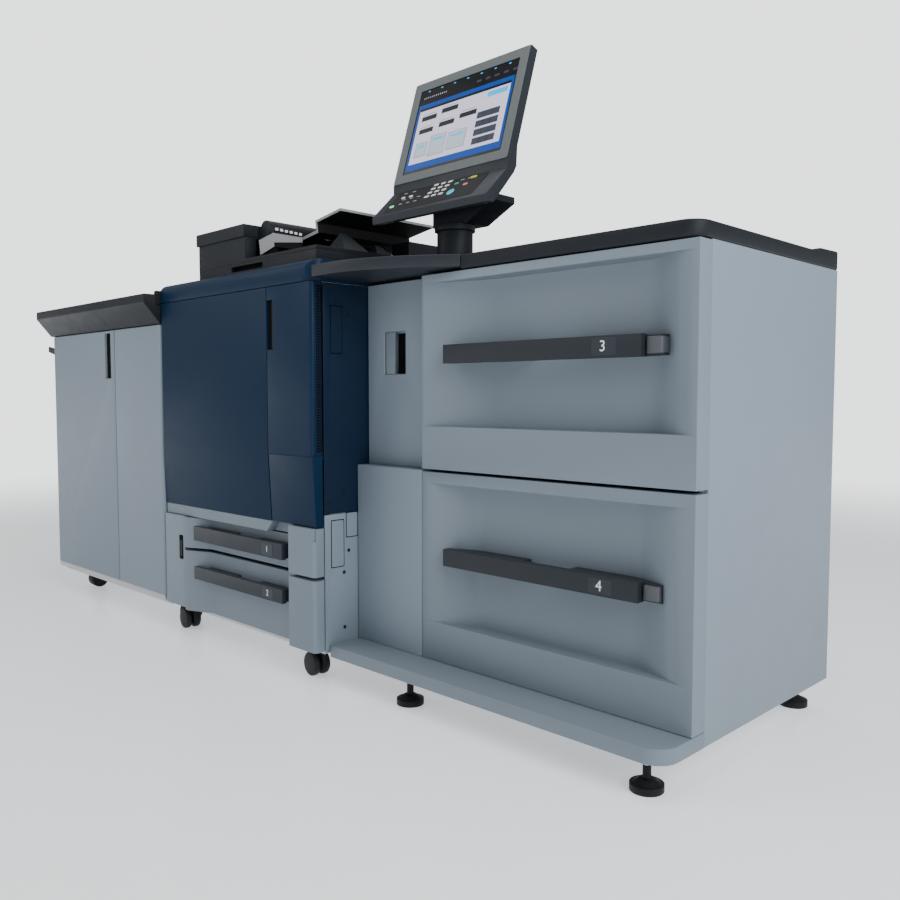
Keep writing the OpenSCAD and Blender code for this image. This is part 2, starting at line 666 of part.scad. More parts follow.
module supply_frame() color("silver") placed() {
    x0 = relay_x0 + 5;
    xr = supply_x1 - 9;
    back = supply_back - 9;
    base_top = cabinet_z + foot_tray_h;
    block([x0, frame_front, cabinet_z], [xr, back, base_top]);
    block([engine_w, plate_y1 - 60, drum_z], [x0 + 1, plate_y1 - 20, drum_z + 40]);
    block([x0, relay_back, base_top - 1], [x0 + sheet, back, slab_z]);
    block([drawer_x0 - seam - sheet, relay_back, base_top - 1], [drawer_x0 - seam, back, slab_z]);
    block([xr - sheet, frame_front, base_top - 1], [xr, back, slab_z]);
    block([x0, relay_back, slab_z - sheet], [xr, back, slab_z]);
    block([drawer_x0 - seam - 1, frame_front + 25, drawer_3_z + box_lift - 8], [xr - 1, back, drawer_3_z + box_lift]);
    for (x = [drawer_x0 + 40, supply_x1 - 80])
        block([x, frame_front + 25, base_top - 1], [x + 40, back, drawer_4_z + box_lift]);
}

module supply_rear_cover() color("lightslategray") placed() difference() {
    block([relay_x0 + 5, supply_back - 9, cabinet_z], [supply_x1 - 9, supply_back, slab_z]);
    for (i = [0:9])
        block([relay_x0 + 60 + i * 16, supply_back - skin, slab_z - 200],
            [relay_x0 + 67 + i * 16, supply_back + 1, slab_z - 80]);
}

module side_panel() color("lightsteelblue") placed()
    block([supply_x1 - 9, frame_front, cabinet_z], [supply_x1, supply_back, slab_z]);

module foot_tray() color("lightgray") placed() difference() {
    translate([0, 0, cabinet_z]) linear_extrude(foot_tray_h) {
        block_x0 = relay_x0 + 5;
        translate([block_x0, foot_y0]) square([supply_x1 - 48 - block_x0, frame_front - foot_y0]);
        translate([block_x0, foot_y0 + 48]) square([supply_x1 - block_x0, frame_front - foot_y0 - 48]);
        translate([supply_x1 - 48, foot_y0 + 48]) circle(r = 48);
    }
    block([relay_x0 + 9, foot_y0 + 30, cabinet_z - 1], [supply_x1 - 40, frame_front - skin, foot_tray_floor]);
}

// Levelling feet: pad, neck and lock nut, screwed up to the cabinet's underside
module leveling_feet() color("black") placed()
    for (x = foot_x, place = [[foot_y0 + 51, foot_tray_floor], [supply_back - 29, cabinet_z]])
        translate([x, place[0], 0]) {
            cylinder(r = foot_r, h = 14);
            translate([0, 0, 13]) cylinder(r1 = foot_r - 4, r2 = 14, h = 10);
            translate([0, 0, 22]) cylinder(r = 8, h = place[1] - 22);
            translate([0, 0, cabinet_z - 12]) cylinder(r = 14, h = 12, $fn = 6);
        }

module top_slab() color("dimgray") placed() {
    x0 = drawer_x0 + 125;
    r = 40;
    translate([0, 0, slab_z]) linear_extrude(top_slab_h) {
        translate([x0, cabinet_y - 3]) square([supply_x1 - r - x0, supply_back - cabinet_y + 3]);
        translate([x0, cabinet_y - 3 + r]) square([supply_x1 - x0, supply_back - cabinet_y + 3 - r]);
        translate([supply_x1 - r, cabinet_y - 3 + r]) circle(r = r);
    }
    along_x(supply_x1 - 16, supply_x1, [[supply_back - 137, slab_z + top_slab_h - 1],
        [supply_back, slab_z + top_slab_h - 1], [supply_back, slab_z + top_slab_h + 10],
        [supply_back - 90, slab_z + top_slab_h + 8]]);
}

// Front edge of the work shelf: straight by the engine, then sweeping back to the drawers
function shelf_edge() = let (x0 = relay_x0 + 84, x1 = drawer_x0 + 125, y1 = cabinet_y - 3)
    [for (i = [0:10]) [x0 + (x1 - x0) * i / 10, y1 * pow(i / 10, 1.7)]];

module work_shelf() color("dimgray") placed() {
    x1 = drawer_x0 + 125;
    translate([0, 0, slab_z + 5]) linear_extrude(shelf_top - slab_z - 5)
        polygon(concat([[relay_x0, 0]], shelf_edge(), [[x1, supply_back], [relay_x0, supply_back]]));
    block([relay_x0 + 30, relay_back + 2, slab_z], [x1 - 30, supply_back - 30, slab_z + 6]);
}

module relay_box_cover() color("lightslategray") placed() difference() {
    block([relay_x0, cabinet_y, cabinet_z + foot_tray_h], [drawer_x0 - seam, relay_back, relay_step_z]);
    block([relay_x0 + skin, cabinet_y + skin, cabinet_z + foot_tray_h - 1],
        [drawer_x0 - seam - skin, relay_back + 1, relay_step_z - skin]);
}

module relay_door() color("lightslategray") placed() difference() {
    leaf(relay_x0 + 1, drawer_x0 - seam, relay_y, relay_step_z, slab_z - seam, "right");
    block([relay_x0 + 63, relay_y - 1, slab_z - 226], [relay_x0 + 141, relay_y + 14, slab_z - 122]);
}

module relay_latch() color("gainsboro") placed() {
    x = relay_x0 + 64;
    block([x + 6, relay_y, slab_z - 225], [x + 38, relay_y + 5, slab_z - 123]);
    translate([x + 6, relay_y + 8, slab_z - 225]) cylinder(r = 5.5, h = 102);
}

// Depth of a drawer front's recess at a place x: flat in the middle, easing out at both ends,
// with a straight facet at the left of the upper drawer
function ease(t) = (1 - cos(180 * t)) / 2;
function recess_y(x, depth, x0, xa, xb, x1, facet) =
    x <= x0 || x >= x1 ? cabinet_y
    : x < xa ? cabinet_y + depth * (facet ? (x - x0) / (xa - x0) : ease((x - x0) / (xa - x0)))
    : x > xb ? cabinet_y + depth * ease((x1 - x) / (x1 - xb))
    : cabinet_y + depth;

function recess_x(facet) = facet
    ? [drawer_x0 + 9, drawer_x0 + 185, supply_x1 - 142, supply_x1 - 5]
    : [drawer_x0 + 19, drawer_x0 + 170, supply_x1 - 170, supply_x1 - 11];

function depth_at(x, depth, facet) = let (k = recess_x(facet))
    recess_y(x, depth, k[0], k[1], k[2], k[3], facet);

module recess_plan(depth, facet, grow) {
    k = recess_x(facet);
    polygon(concat(
        [[k[0] - grow, cabinet_y - (grow > 0 ? 0 : 1)]],
        [for (t = [0:1/8:1]) let (x = k[0] + (k[1] - k[0]) * t) [x - grow, depth_at(x, depth, facet) + grow]],
        [for (t = [0:1/8:1]) let (x = k[2] + (k[3] - k[2]) * t) [x + grow, depth_at(x, depth, facet) + grow]],
        [[k[3] + grow, cabinet_y - (grow > 0 ? 0 : 1)]]));
}

module drawer(z0, h, apron, head, depth, facet) {
    difference() {
        union() {
            difference() {
                block([drawer_x0, cabinet_y, z0], [supply_x1, frame_front, z0 + h]);
                block([drawer_x0 + skin, cabinet_y + skin, z0 + skin],
                    [supply_x1 - skin, frame_front + 1, z0 + h - skin]);
            }
            translate([0, 0, z0 + apron - skin]) linear_extrude(h - apron - head + 2 * skin)
                recess_plan(depth, facet, skin);
        }
        translate([0, 0, z0 + apron]) linear_extrude(h - apron - head) recess_plan(depth, facet, 0);
    }
    y0 = cabinet_y + depth;
    difference() {
        block([drawer_x0 + 28, y0, z0 + box_lift], [supply_x1 - 29, supply_back - 49, z0 + h - 90]);
        block([drawer_x0 + 31, y0 + skin, z0 + box_lift + 3], [supply_x1 - 32, supply_back - 52, z0 + h]);
    }
}

module drawer_3() color("lightsteelblue") placed() drawer(drawer_3_z, upper_drawer_h, 99, 19, recess_3, true);
module drawer_4() color("lightsteelblue") placed() drawer(drawer_4_z, lower_drawer_h, 91, 25, recess_4, false);

// Bar handle on two wide brackets that end on the recess, with room for fingers between them
module drawer_handle(z0, h, depth, facet) {
    k = recess_x(facet);
    last = facet ? 4 : 5;
    y0 = cabinet_y - handle_proud;
    y1 = y0 + handle_t;
    back = cabinet_y + depth - 0.4;
    left = [for (i = [4:8]) k[0] + (k[1] - k[0]) * i / 8];
    right = [for (i = [last:-1:0]) k[2] + (k[3] - k[2]) * i / 8];
    block([drawer_x0 + 81, y0, z0], [supply_x1 - 110, y1, z0 + h]);
    translate([0, 0, z0 + 2]) linear_extrude(h - 4) {
        polygon(concat([for (x = left) [x, depth_at(x, depth, facet) - 0.4]],
            [[drawer_x0 + 296, back], [drawer_x0 + 296, y1 - 1], [left[0], y1 - 1]]));
        polygon(concat([[drawer_x0 + 418, back], [drawer_x0 + 418, y1 - 1], [right[0], y1 - 1]],
            [for (x = right) [x, depth_at(x, depth, facet) - 0.4]]));
    }
}

module drawer_3_handle() color("dimgray") placed() drawer_handle(drawer_3_z + 242, handle_h, recess_3, true);
module drawer_4_handle() color("dimgray") placed() drawer_handle(drawer_4_z + 230, handle_h - 3, recess_4, false);

// ---- operation panel ----

module panel_column() color("dimgray") placed() translate([post_x, post_y, shelf_top]) difference() {
    cylinder(r = column_d / 2, h = column_h, $fn = 64);
    translate([0, 0, column_h - 40]) cylinder(r = 15 + fit, h = 41);
}

module panel_arm() color("dimgray") placed() {
    translate([post_x, post_y, arm_z]) cylinder(r = column_d / 2 + 6, h = 14, $fn = 64);
    translate([post_x, post_y, arm_z - 30]) cylinder(r = 15, h = 31);
    along_y(tilt_y - 32, tilt_y + 45, [[post_x - 55, arm_z + 13], [post_x + 60, arm_z + 13],
        [post_x + 145, arm_z + 55], [post_x + 145, arm_z + 70], [post_x - 55, arm_z + 70]]);
    block([post_x - 20, tilt_y - 10, arm_z + 69], [post_x + 100, tilt_y + 10, tilt_z]);
    shaft_x(tilt_y, tilt_z, post_x - 20, post_x + 100, 12);
    shaft_x(tilt_y, tilt_z, post_x - 45, post_x + 125, pin_r);
}

// Turns a flat frame onto the key deck, origin at the middle of its rear edge
module on_deck() translate([(panel_x0 + panel_x1) / 2, deck_y, deck_z0]) rotate([deck_a, 0, 0]) children();

// Turns a flat frame onto the display face, origin at its lower left corner
module on_face() translate([panel_x0, face_y, face_z]) rotate([90 - panel_tilt, 0, 0]) children();

// Places of the keys on the deck
function key_x(col) = -30 + col * 24;
function key_y(row) = -6 - row * 16;
start_at = [53, -57, 0];

module panel_housing() color("gray") placed() {
    difference() {
        along_x(panel_x0, panel_x1, [
            [face_top_y, face_top_z], [face_top_y + 21, face_top_z - 7], [face_y + 34, face_z + 34],
            [face_y + 31, face_z - 12], [face_y + 22, face_z - 28],
            [deck_y - deck_len * cos(deck_a) + 24, deck_z0 - deck_len * sin(deck_a) - 14],
            [deck_y - deck_len * cos(deck_a), deck_z0 - deck_len * sin(deck_a) - 16],
            [deck_y - deck_len * cos(deck_a) - 2, deck_z0 - deck_len * sin(deck_a)],
            [deck_y, deck_z0], [face_y, face_z]]);
        on_face() translate([(panel_w - screen_w) / 2, (panel_h - screen_h) / 2, -screen_t])
            cube([screen_w, screen_h, screen_t + 1]);
        on_deck() {
            for (row = [0:3], col = [0:2]) translate([key_x(col) - 7.8, key_y(row) - 4.3, -6]) cube([15.6, 8.6, 8]);
            translate(start_at - [0, 0, 6]) cylinder(r = 11.3, h = 8);
        }
    }
    for (x = [post_x - 42, post_x + 110]) difference() {
        union() {
            block([x, tilt_y - 34, tilt_z], [x + 13, tilt_y, tilt_z + 42]);
            shaft_x(tilt_y, tilt_z, x, x + 13, 14);
        }
        shaft_x(tilt_y, tilt_z, x - 1, x + 14, pin_r + fit);
    }
}

module touch_screen() color("lightskyblue") placed() on_face()
    translate([(panel_w - screen_w) / 2 + 0.5, (panel_h - screen_h) / 2 + 0.5, -screen_t])
        cube([screen_w - 1, screen_h - 1, screen_t]);

module number_keys() color("white") placed() on_deck()
    for (row = [0:3], col = [0:2]) translate([key_x(col) - 7.5, key_y(row) - 4, -4]) cube([15, 8, 6.5]);

module start_key() color("turquoise") placed() on_deck()
    translate(start_at - [0, 0, 4]) cylinder(r = 11, h = 7);

engine_frame();
engine_rear_cover();
engine_top_cover();
left_pillar();
lower_band();
lower_front_cover();
side_cover_upper();
side_cover_lower();
front_door();
toner_door();
tray_1();
tray_1_handle();
tray_2();
tray_2_handle();
caster_fork(caster_x[0]);  // caster_fork_left
caster_fork(caster_x[1]);  // caster_fork_right
caster_wheels(caster_x[0]);  // caster_wheels_left
caster_wheels(caster_x[1]);  // caster_wheels_right
rear_wheels(rear_wheel_x[0]);  // rear_wheels_left
rear_wheels(rear_wheel_x[1]);  // rear_wheels_right
drum_units();
transfer_belt();
fuser_roller();
pressure_roller();
toner_bottles();
scanner_body();
platen_glass();
feeder_body();
feeder_cover();
document_tray();
guide_front();
guide_rear();
pickup_roller();
finisher_frame();
finisher_shell();
finisher_top_cover();
finisher_left_door();
finisher_right_door();
finisher_exit_tray();
finisher_casters();
supply_frame();
supply_rear_cover();
side_panel();
foot_tray();
leveling_feet();
top_slab();
work_shelf();
relay_box_cover();
relay_door();
relay_latch();
drawer_3();
drawer_3_handle();
drawer_4();
drawer_4_handle();
panel_column();
panel_arm();
panel_housing();
touch_screen();
number_keys();
start_key();
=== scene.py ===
import json
import math

import bmesh
import bpy
from mathutils import Euler, Matrix, Vector


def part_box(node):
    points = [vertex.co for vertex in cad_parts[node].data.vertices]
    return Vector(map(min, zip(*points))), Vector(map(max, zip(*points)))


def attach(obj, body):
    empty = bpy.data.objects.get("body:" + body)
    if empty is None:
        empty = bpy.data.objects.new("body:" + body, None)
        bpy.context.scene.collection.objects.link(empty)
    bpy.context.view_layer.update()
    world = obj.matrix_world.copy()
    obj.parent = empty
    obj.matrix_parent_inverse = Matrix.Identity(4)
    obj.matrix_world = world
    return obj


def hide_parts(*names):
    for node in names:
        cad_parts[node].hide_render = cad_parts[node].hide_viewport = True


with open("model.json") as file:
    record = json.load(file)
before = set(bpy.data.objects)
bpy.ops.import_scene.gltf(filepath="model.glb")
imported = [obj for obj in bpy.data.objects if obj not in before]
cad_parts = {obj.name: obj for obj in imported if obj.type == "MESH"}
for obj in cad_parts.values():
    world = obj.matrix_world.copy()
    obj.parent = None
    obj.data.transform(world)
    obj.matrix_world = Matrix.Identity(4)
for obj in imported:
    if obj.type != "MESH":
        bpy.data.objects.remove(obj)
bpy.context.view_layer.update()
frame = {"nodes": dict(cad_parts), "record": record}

bl_info = {
    "name": "Production copier",
    "version": (1, 0, 0),
    "blender": (4, 5, 0),
    "location": "View3D > Sidebar > Copier",
    "description": "Builds the covers, details and finishes of a floor-standing copier round its frame",
    "category": "Add Mesh",
}

MM = 0.001
# The datum is the floor below the lower left front corner of the engine's wide door.
DATUM = Vector((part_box("front_door")[0].x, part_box("front_door")[0].y, 0.0))
BODY_OF = {n: b for b, nodes in frame["record"]["behaviour"]["bodies"].items() for n in nodes}
SLOT_OF = {s["node"]: s["material_slot"] for s in frame["record"]["subparts"]}
MATERIALS = {}
LEAN = math.radians(17)         # backward tilt of the display
DECK = math.radians(45)         # slope of the key deck
TRAY = math.radians(9)          # slope of the document tray
BACKDROP = 2.3                  # brightness of the backdrop as the camera sees it
SKY = 0.35                      # brightness of the even light round the object
CAMERA = (2485.35, -1259.65, 717.33)
CAMERA_DIP = math.radians(3.52)
CAMERA_TURN = math.radians(44.87)


def at(x, y, z):
    """A place in millimetres from the datum, as metres in the frame."""
    return DATUM + Vector((x, y, z)) * MM


# ---------------------------------------------------------------- sizes and colours

class CopierSizes(bpy.types.PropertyGroup):
    """Sizes that a user may change"""
    edge_radius: bpy.props.FloatProperty(
        name="Edge radius", description="Rounding of the covers' edges",
        default=0.0022, min=0.0005, max=0.005, unit="LENGTH")
    screw_radius: bpy.props.FloatProperty(
        name="Screw radius", description="Radius of the cover screws' heads",
        default=0.0045, min=0.002, max=0.008, unit="LENGTH")
    digit_height: bpy.props.FloatProperty(
        name="Digit height", description="Height of the tray numbers",
        default=0.022, min=0.01, max=0.04, unit="LENGTH")
    lens: bpy.props.FloatProperty(
        name="Lens", description="Focal length of the camera in millimetres", default=34.9, min=18, max=120)


class CopierColours(bpy.types.PropertyGroup):
    """Base colours of the finishes"""
    door_blue: bpy.props.FloatVectorProperty(
        name="Door blue", description="Paint of the engine's doors and top cover",
        default=(0.0036, 0.0180, 0.0445), size=3, subtype="COLOR", min=0, max=1)
    side_navy: bpy.props.FloatVectorProperty(
        name="Side navy", description="Paint of the engine's side cover",
        default=(0.004, 0.014, 0.034), size=3, subtype="COLOR", min=0, max=1)
    panel_grey: bpy.props.FloatVectorProperty(
        name="Panel grey", description="Paint of the blue-grey covers",
        default=(0.20, 0.247, 0.294), size=3, subtype="COLOR", min=0, max=1)
    drawer_grey: bpy.props.FloatVectorProperty(
        name="Drawer grey", description="Moulding of the drawer fronts and the foot tray",
        default=(0.176, 0.216, 0.255), size=3, subtype="COLOR", min=0, max=1)
    trim_grey: bpy.props.FloatVectorProperty(
        name="Trim grey", description="Dark moulding of the slabs, handles and feeder",
        default=(0.010, 0.0125, 0.0165), size=3, subtype="COLOR", min=0, max=1)


# ---------------------------------------------------------------- materials

def socket(group, name, kind, way, default=None):
    """A socket on a shader group's own interface."""
    item = group.interface.new_socket(name=name, in_out=way, socket_type=kind)
    if default is not None:
        item.default_value = default
    return item


def surface_group():
    """Paint or moulding: a tone that wanders, dust that gathers, and a fine grain."""
    found = bpy.data.node_groups.get("cover_surface")
    if found:
        return found
    g = bpy.data.node_groups.new("cover_surface", "ShaderNodeTree")
    socket(g, "Colour", "NodeSocketColor", "INPUT", (0.5, 0.5, 0.5, 1))
    socket(g, "Gloss", "NodeSocketFloat", "INPUT", 0.4)
    socket(g, "Grain size", "NodeSocketFloat", "INPUT", 900.0)
    socket(g, "Wander", "NodeSocketFloat", "INPUT", 0.06)
    socket(g, "Dust", "NodeSocketFloat", "INPUT", 0.04)
    socket(g, "Colour", "NodeSocketColor", "OUTPUT")
    socket(g, "Roughness", "NodeSocketFloat", "OUTPUT")
    socket(g, "Height", "NodeSocketFloat", "OUTPUT")
    n, link = g.nodes, g.links
    gin, gout = n.new("NodeGroupInput"), n.new("NodeGroupOutput")
    place = n.new("ShaderNodeTexCoord")
    grain = n.new("ShaderNodeTexNoise")
    grain.inputs["Detail"].default_value = 3
    tone = n.new("ShaderNodeTexNoise")
    tone.inputs["Scale"].default_value = 3.5
    tone.inputs["Detail"].default_value = 4
    smear = n.new("ShaderNodeTexNoise")
    smear.inputs["Scale"].default_value = 22
    smear.inputs["Detail"].default_value = 6
    for tex in (grain, tone, smear):
        link.new(place.outputs["Object"], tex.inputs["Vector"])
    link.new(gin.outputs["Grain size"], grain.inputs["Scale"])
    shift = n.new("ShaderNodeMath")
    shift.operation = "SUBTRACT"
    shift.inputs[1].default_value = 0.5
    link.new(tone.outputs["Fac"], shift.inputs[0])
    sway = n.new("ShaderNodeMath")
    sway.operation = "MULTIPLY_ADD"
    sway.inputs[2].default_value = 1.0
    link.new(shift.outputs[0], sway.inputs[0])
    link.new(gin.outputs["Wander"], sway.inputs[1])
    shade = n.new("ShaderNodeVectorMath")
    shade.operation = "SCALE"
    link.new(gin.outputs["Colour"], shade.inputs[0])
    link.new(sway.outputs[0], shade.inputs["Scale"])
    up = n.new("ShaderNodeNewGeometry")
    split = n.new("ShaderNodeSeparateXYZ")
    link.new(up.outputs["Normal"], split.inputs[0])
    settle = n.new("ShaderNodeMath")
    settle.operation = "MULTIPLY"
    settle.use_clamp = True
    link.new(split.outputs["Z"], settle.inputs[0])
    link.new(smear.outputs["Fac"], settle.inputs[1])
    film = n.new("ShaderNodeMath")
    film.operation = "MULTIPLY"
    link.new(settle.outputs[0], film.inputs[0])
    link.new(gin.outputs["Dust"], film.inputs[1])
    mix = n.new("ShaderNodeMix")
    mix.data_type = "RGBA"
    mix.inputs["B"].default_value = (0.55, 0.55, 0.53, 1)
    link.new(film.outputs[0], mix.inputs["Factor"])
    link.new(shade.outputs[0], mix.inputs["A"])
    link.new(mix.outputs["Result"], gout.inputs["Colour"])
    rough = n.new("ShaderNodeMath")
    rough.operation = "MULTIPLY_ADD"
    rough.inputs[1].default_value = 0.16
    link.new(smear.outputs["Fac"], rough.inputs[0])
    link.new(gin.outputs["Gloss"], rough.inputs[2])
    link.new(rough.outputs[0], gout.inputs["Roughness"])
    link.new(grain.outputs["Fac"], gout.inputs["Height"])
    return g


def finish_material(name, colour, gloss, grain=900.0, bump=0.05, wander=0.06, dust=0.03, metal=0.0,
                    coat=0.0, glow=0.0, shine=0.35):
    """A finish with its own colour, grain and gloss over the shared surface group."""
    if name in MATERIALS:
        return MATERIALS[name]
    m = bpy.data.materials.new(name)
    m.use_nodes = True
    n, link = m.node_tree.nodes, m.node_tree.links
    shader = n["Principled BSDF"]
    g = n.new("ShaderNodeGroup")
    g.node_tree = surface_group()
    g.inputs["Colour"].default_value = (*colour, 1)
    g.inputs["Gloss"].default_value = gloss
    g.inputs["Grain size"].default_value = grain
    g.inputs["Wander"].default_value = wander
    g.inputs["Dust"].default_value = dust
    link.new(g.outputs["Colour"], shader.inputs["Base Color"])
    link.new(g.outputs["Roughness"], shader.inputs["Roughness"])
    b = n.new("ShaderNodeBump")
    b.inputs["Strength"].default_value = bump
    b.inputs["Distance"].default_value = 0.0004
    link.new(g.outputs["Height"], b.inputs["Height"])
    link.new(b.outputs["Normal"], shader.inputs["Normal"])
    shader.inputs["Metallic"].default_value = metal
    shader.inputs["Specular IOR Level"].default_value = shine
    shader.inputs["Coat Weight"].default_value = coat
    shader.inputs["Coat Roughness"].default_value = 0.15
    if glow:
        link.new(g.outputs["Colour"], shader.inputs["Emission Color"])
        shader.inputs["Emission Strength"].default_value = glow
    MATERIALS[name] = m
    return m


def make_materials():
    """Every finish of the copier, from the colours in the sidebar."""
    c = bpy.context.scene.copier_colours
    blue, navy = tuple(c.door_blue), tuple(c.side_navy)
    grey, light, trim = tuple(c.panel_grey), tuple(c.drawer_grey), tuple(c.trim_grey)
    finish_material("blue_cover", blue, 0.3, grain=1400, bump=0.10, wander=0.10, shine=0.12)
    finish_material("navy_side", navy, 0.34, grain=1400, bump=0.12, shine=0.25)
    finish_material("blue_grey", grey, 0.42, grain=1300, bump=0.10)
    finish_material("light_grey", light, 0.44, grain=1100, bump=0.10)
    finish_material("dark_grey", trim, 0.42, grain=800, bump=0.22, dust=0.02, shine=0.2)
    finish_material("handle_grey", tuple(v * 1.6 for v in trim), 0.38, grain=900, bump=0.18, shine=0.3)
    finish_material("grip_grey", tuple(v * 2.3 for v in trim), 0.38, grain=900, bump=0.18, shine=0.3)
    finish_material("label_grey", tuple(v * 3.2 for v in trim), 0.38, grain=900, bump=0.12, shine=0.3)
    finish_material("cap_grey", (0.075, 0.083, 0.092), 0.35, grain=900, bump=0.1)
    finish_material("black", (0.005, 0.005, 0.006), 0.45, grain=800, bump=0.18, dust=0.01, shine=0.25)
    # Near-black finish: it paints the shade inside recesses, slots and vent holes, and it is also the colour
    # of the dark seams round the covers.
    finish_material("shade_and_seam_black", (0.001, 0.001, 0.0012), 0.7, grain=500, bump=0.05, dust=0.0, shine=0.1)
    finish_material("bezel_grey", (0.115, 0.13, 0.13), 0.42, grain=1100, bump=0.14, shine=0.3)
    finish_material("rim_grey", (0.26, 0.275, 0.285), 0.42, grain=1000, bump=0.14)
    finish_material("steel", (0.5, 0.51, 0.52), 0.32, grain=1500, bump=0.08, metal=0.9)
    finish_material("zinc_nut", (0.7, 0.7, 0.68), 0.3, grain=1200, bump=0.1, metal=0.4)
    finish_material("rubber", (0.007, 0.007, 0.008), 0.5, grain=700, bump=0.25)
    finish_material("drum", (0.012, 0.03, 0.035), 0.1, grain=1400, bump=0.02, coat=0.4)
    finish_material("fuser", (0.2, 0.06, 0.03), 0.35, grain=1200, bump=0.08)
    finish_material("toner", (0.55, 0.54, 0.5), 0.4, grain=1000, bump=0.1)
    finish_material("key_white", (0.72, 0.73, 0.73), 0.35, grain=1500, bump=0.06)
    finish_material("key_cyan", (0.01, 0.46, 0.55), 0.25, grain=1500, bump=0.05, coat=0.3, glow=0.3)
    finish_material("key_teal", (0.02, 0.28, 0.25), 0.3, grain=1500, bump=0.05, coat=0.2)
    finish_material("key_yellow", (0.62, 0.6, 0.05), 0.3, grain=1500, bump=0.05, coat=0.2)
    finish_material("key_pink", (0.65, 0.2, 0.2), 0.3, grain=1500, bump=0.05, coat=0.2)
    finish_material("lamp_green", (0.2, 0.9, 0.3), 0.25, grain=1500, bump=0.0, glow=0.6)
    finish_material("digit_white", (0.75, 0.77, 0.78), 0.4, grain=1500, bump=0.03, dust=0)
    finish_material("screen_black", (0.002, 0.002, 0.003), 0.12, grain=1500, bump=0.0, dust=0, shine=0.3)
    for name, colour, glow in (("screen_frame", (0.001, 0.05, 0.30), 0.3),
                               ("screen_page", (0.58, 0.56, 0.68), 0.42),
                               ("screen_key", (0.02, 0.022, 0.03), 0.0),
                               ("screen_sky", (0.0, 0.42, 0.85), 0.45),
                               ("screen_cell", (0.045, 0.05, 0.075), 0.1),
                               ("screen_unit", (0.42, 0.5, 0.56), 0.3),
                               ("screen_mark", (0.35, 0.36, 0.42), 0.2)):
        finish_material(name, colour, 0.15, grain=1500, bump=0.0, dust=0, glow=glow, shine=0.15)
    finish_material("platen_glass_pane", (0.06, 0.08, 0.08), 0.02, bump=0.0, dust=0.0, coat=0.6)


MATERIAL_OF_SLOT = {"glass": "platen_glass_pane", "screen": "screen_black"}


# ---------------------------------------------------------------- mesh helpers

def link_mesh(name, mesh):
    """An object at the origin that shows a mesh."""
    obj = bpy.data.objects.new(name, mesh)
    bpy.context.scene.collection.objects.link(obj)
    return obj


def mesh_from(name, verts, faces):
    """An object from points and faces, with its normals turned outward."""
    mesh = bpy.data.meshes.new(name)
    mesh.from_pydata([tuple(v) for v in verts], [], faces)
    bm = bmesh.new()
    bm.from_mesh(mesh)
    bmesh.ops.recalc_face_normals(bm, faces=bm.faces)
    bm.to_mesh(mesh)
    bm.free()
    return link_mesh(name, mesh)


def soften(obj, width, segments=3, angle=32):
    """Rounds the edges and shades the piece smoothly."""
    for poly in obj.data.polygons:
        poly.use_smooth = True
    if width > 0:
        mod = obj.modifiers.new("edges", "BEVEL")
        mod.width = width
        mod.segments = segments
        mod.limit_method = "ANGLE"
        mod.angle_limit = math.radians(angle)
        mod.harden_normals = True
        mod.use_clamp_overlap = True
    else:
        obj.data.set_sharp_from_angle(angle=math.radians(angle))


def finish_piece(obj, material, body, replaces=()):
    """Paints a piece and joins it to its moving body."""
    obj.data.materials.clear()
    obj.data.materials.append(MATERIALS[material])
    if replaces:
        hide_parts(*replaces)
    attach(obj, body)
    return obj


def prism(name, outline, axis, low, high, turn=None):
    """Outline drawn in the plane across an axis and pushed from low to high along it, in millimetres."""
    place = {"x": lambda a, b, t: at(t, a, b), "y": lambda a, b, t: at(a, t, b),
             "z": lambda a, b, t: at(a, b, t)}
    put = turn or place[axis]
    count = len(outline)
    verts = [put(a, b, low) for a, b in outline] + [put(a, b, high) for a, b in outline]
    faces = [list(range(count)), list(range(2 * count - 1, count - 1, -1))]
    faces += [[i, (i + 1) % count, count + (i + 1) % count, count + i] for i in range(count)]
    return mesh_from(name, verts, faces)


def rounded_outline(x0, z0, x1, z1, radius, steps=6):
    """Rectangle with round corners."""
    points = []
    for cx, cz, start in ((x1 - radius, z0 + radius, -90), (x1 - radius, z1 - radius, 0),
                          (x0 + radius, z1 - radius, 90), (x0 + radius, z0 + radius, 180)):
        for i in range(steps + 1):
            a = math.radians(start + 90 * i / steps)
            points.append((cx + radius * math.cos(a), cz + radius * math.sin(a)))
    return points


def plate(name, axis, x0, z0, x1, z1, low, high, radius=2.0, turn=None):
    """Flat plate with round corners."""
    return prism(name, rounded_outline(x0, z0, x1, z1, radius), axis, low, high, turn)


def ring(name, centre, axis, inner, outer, low, high, sides=40):
    """Flat ring or disc round an axis through a centre, in millimetres."""
    turn = {"x": lambda a, b, t: at(t, centre[1] + a, centre[2] + b),
            "y": lambda a, b, t: at(centre[0] + a, t, centre[2] + b),
            "z": lambda a, b, t: at(centre[0] + a, centre[1] + b, t)}[axis]
    circle = [(math.cos(2 * math.pi * i / sides), math.sin(2 * math.pi * i / sides)) for i in range(sides)]
    verts, faces = [], []
    for radius, t in ((outer, low), (outer, high), (inner, high), (inner, low)):
        verts += [turn(radius * c, radius * s, t) for c, s in circle]
    for band in range(4):
        a, b = band * sides, (band + 1) % 4 * sides
        faces += [[a + i, a + (i + 1) % sides, b + (i + 1) % sides, b + i] for i in range(sides)]
    return mesh_from(name, verts, faces)


def on_face(u, v, w):
    """A place on the sloped display: u to the right, v up the slope, w out of it."""
    base = at(778.5, 250, 1253)
    back, up = math.sin(LEAN), math.cos(LEAN)
    return base + MM * Vector((u, v * back - w * up, v * up + w * back))


def on_deck(u, v, w):
    """A place on the key deck: u from its middle, v up from its rear edge, w out of it."""
    base = at(972, 250, 1233)
    back, up = math.cos(DECK), math.sin(DECK)
    return base + MM * Vector((u, v * back - w * up, v * up + w * back))


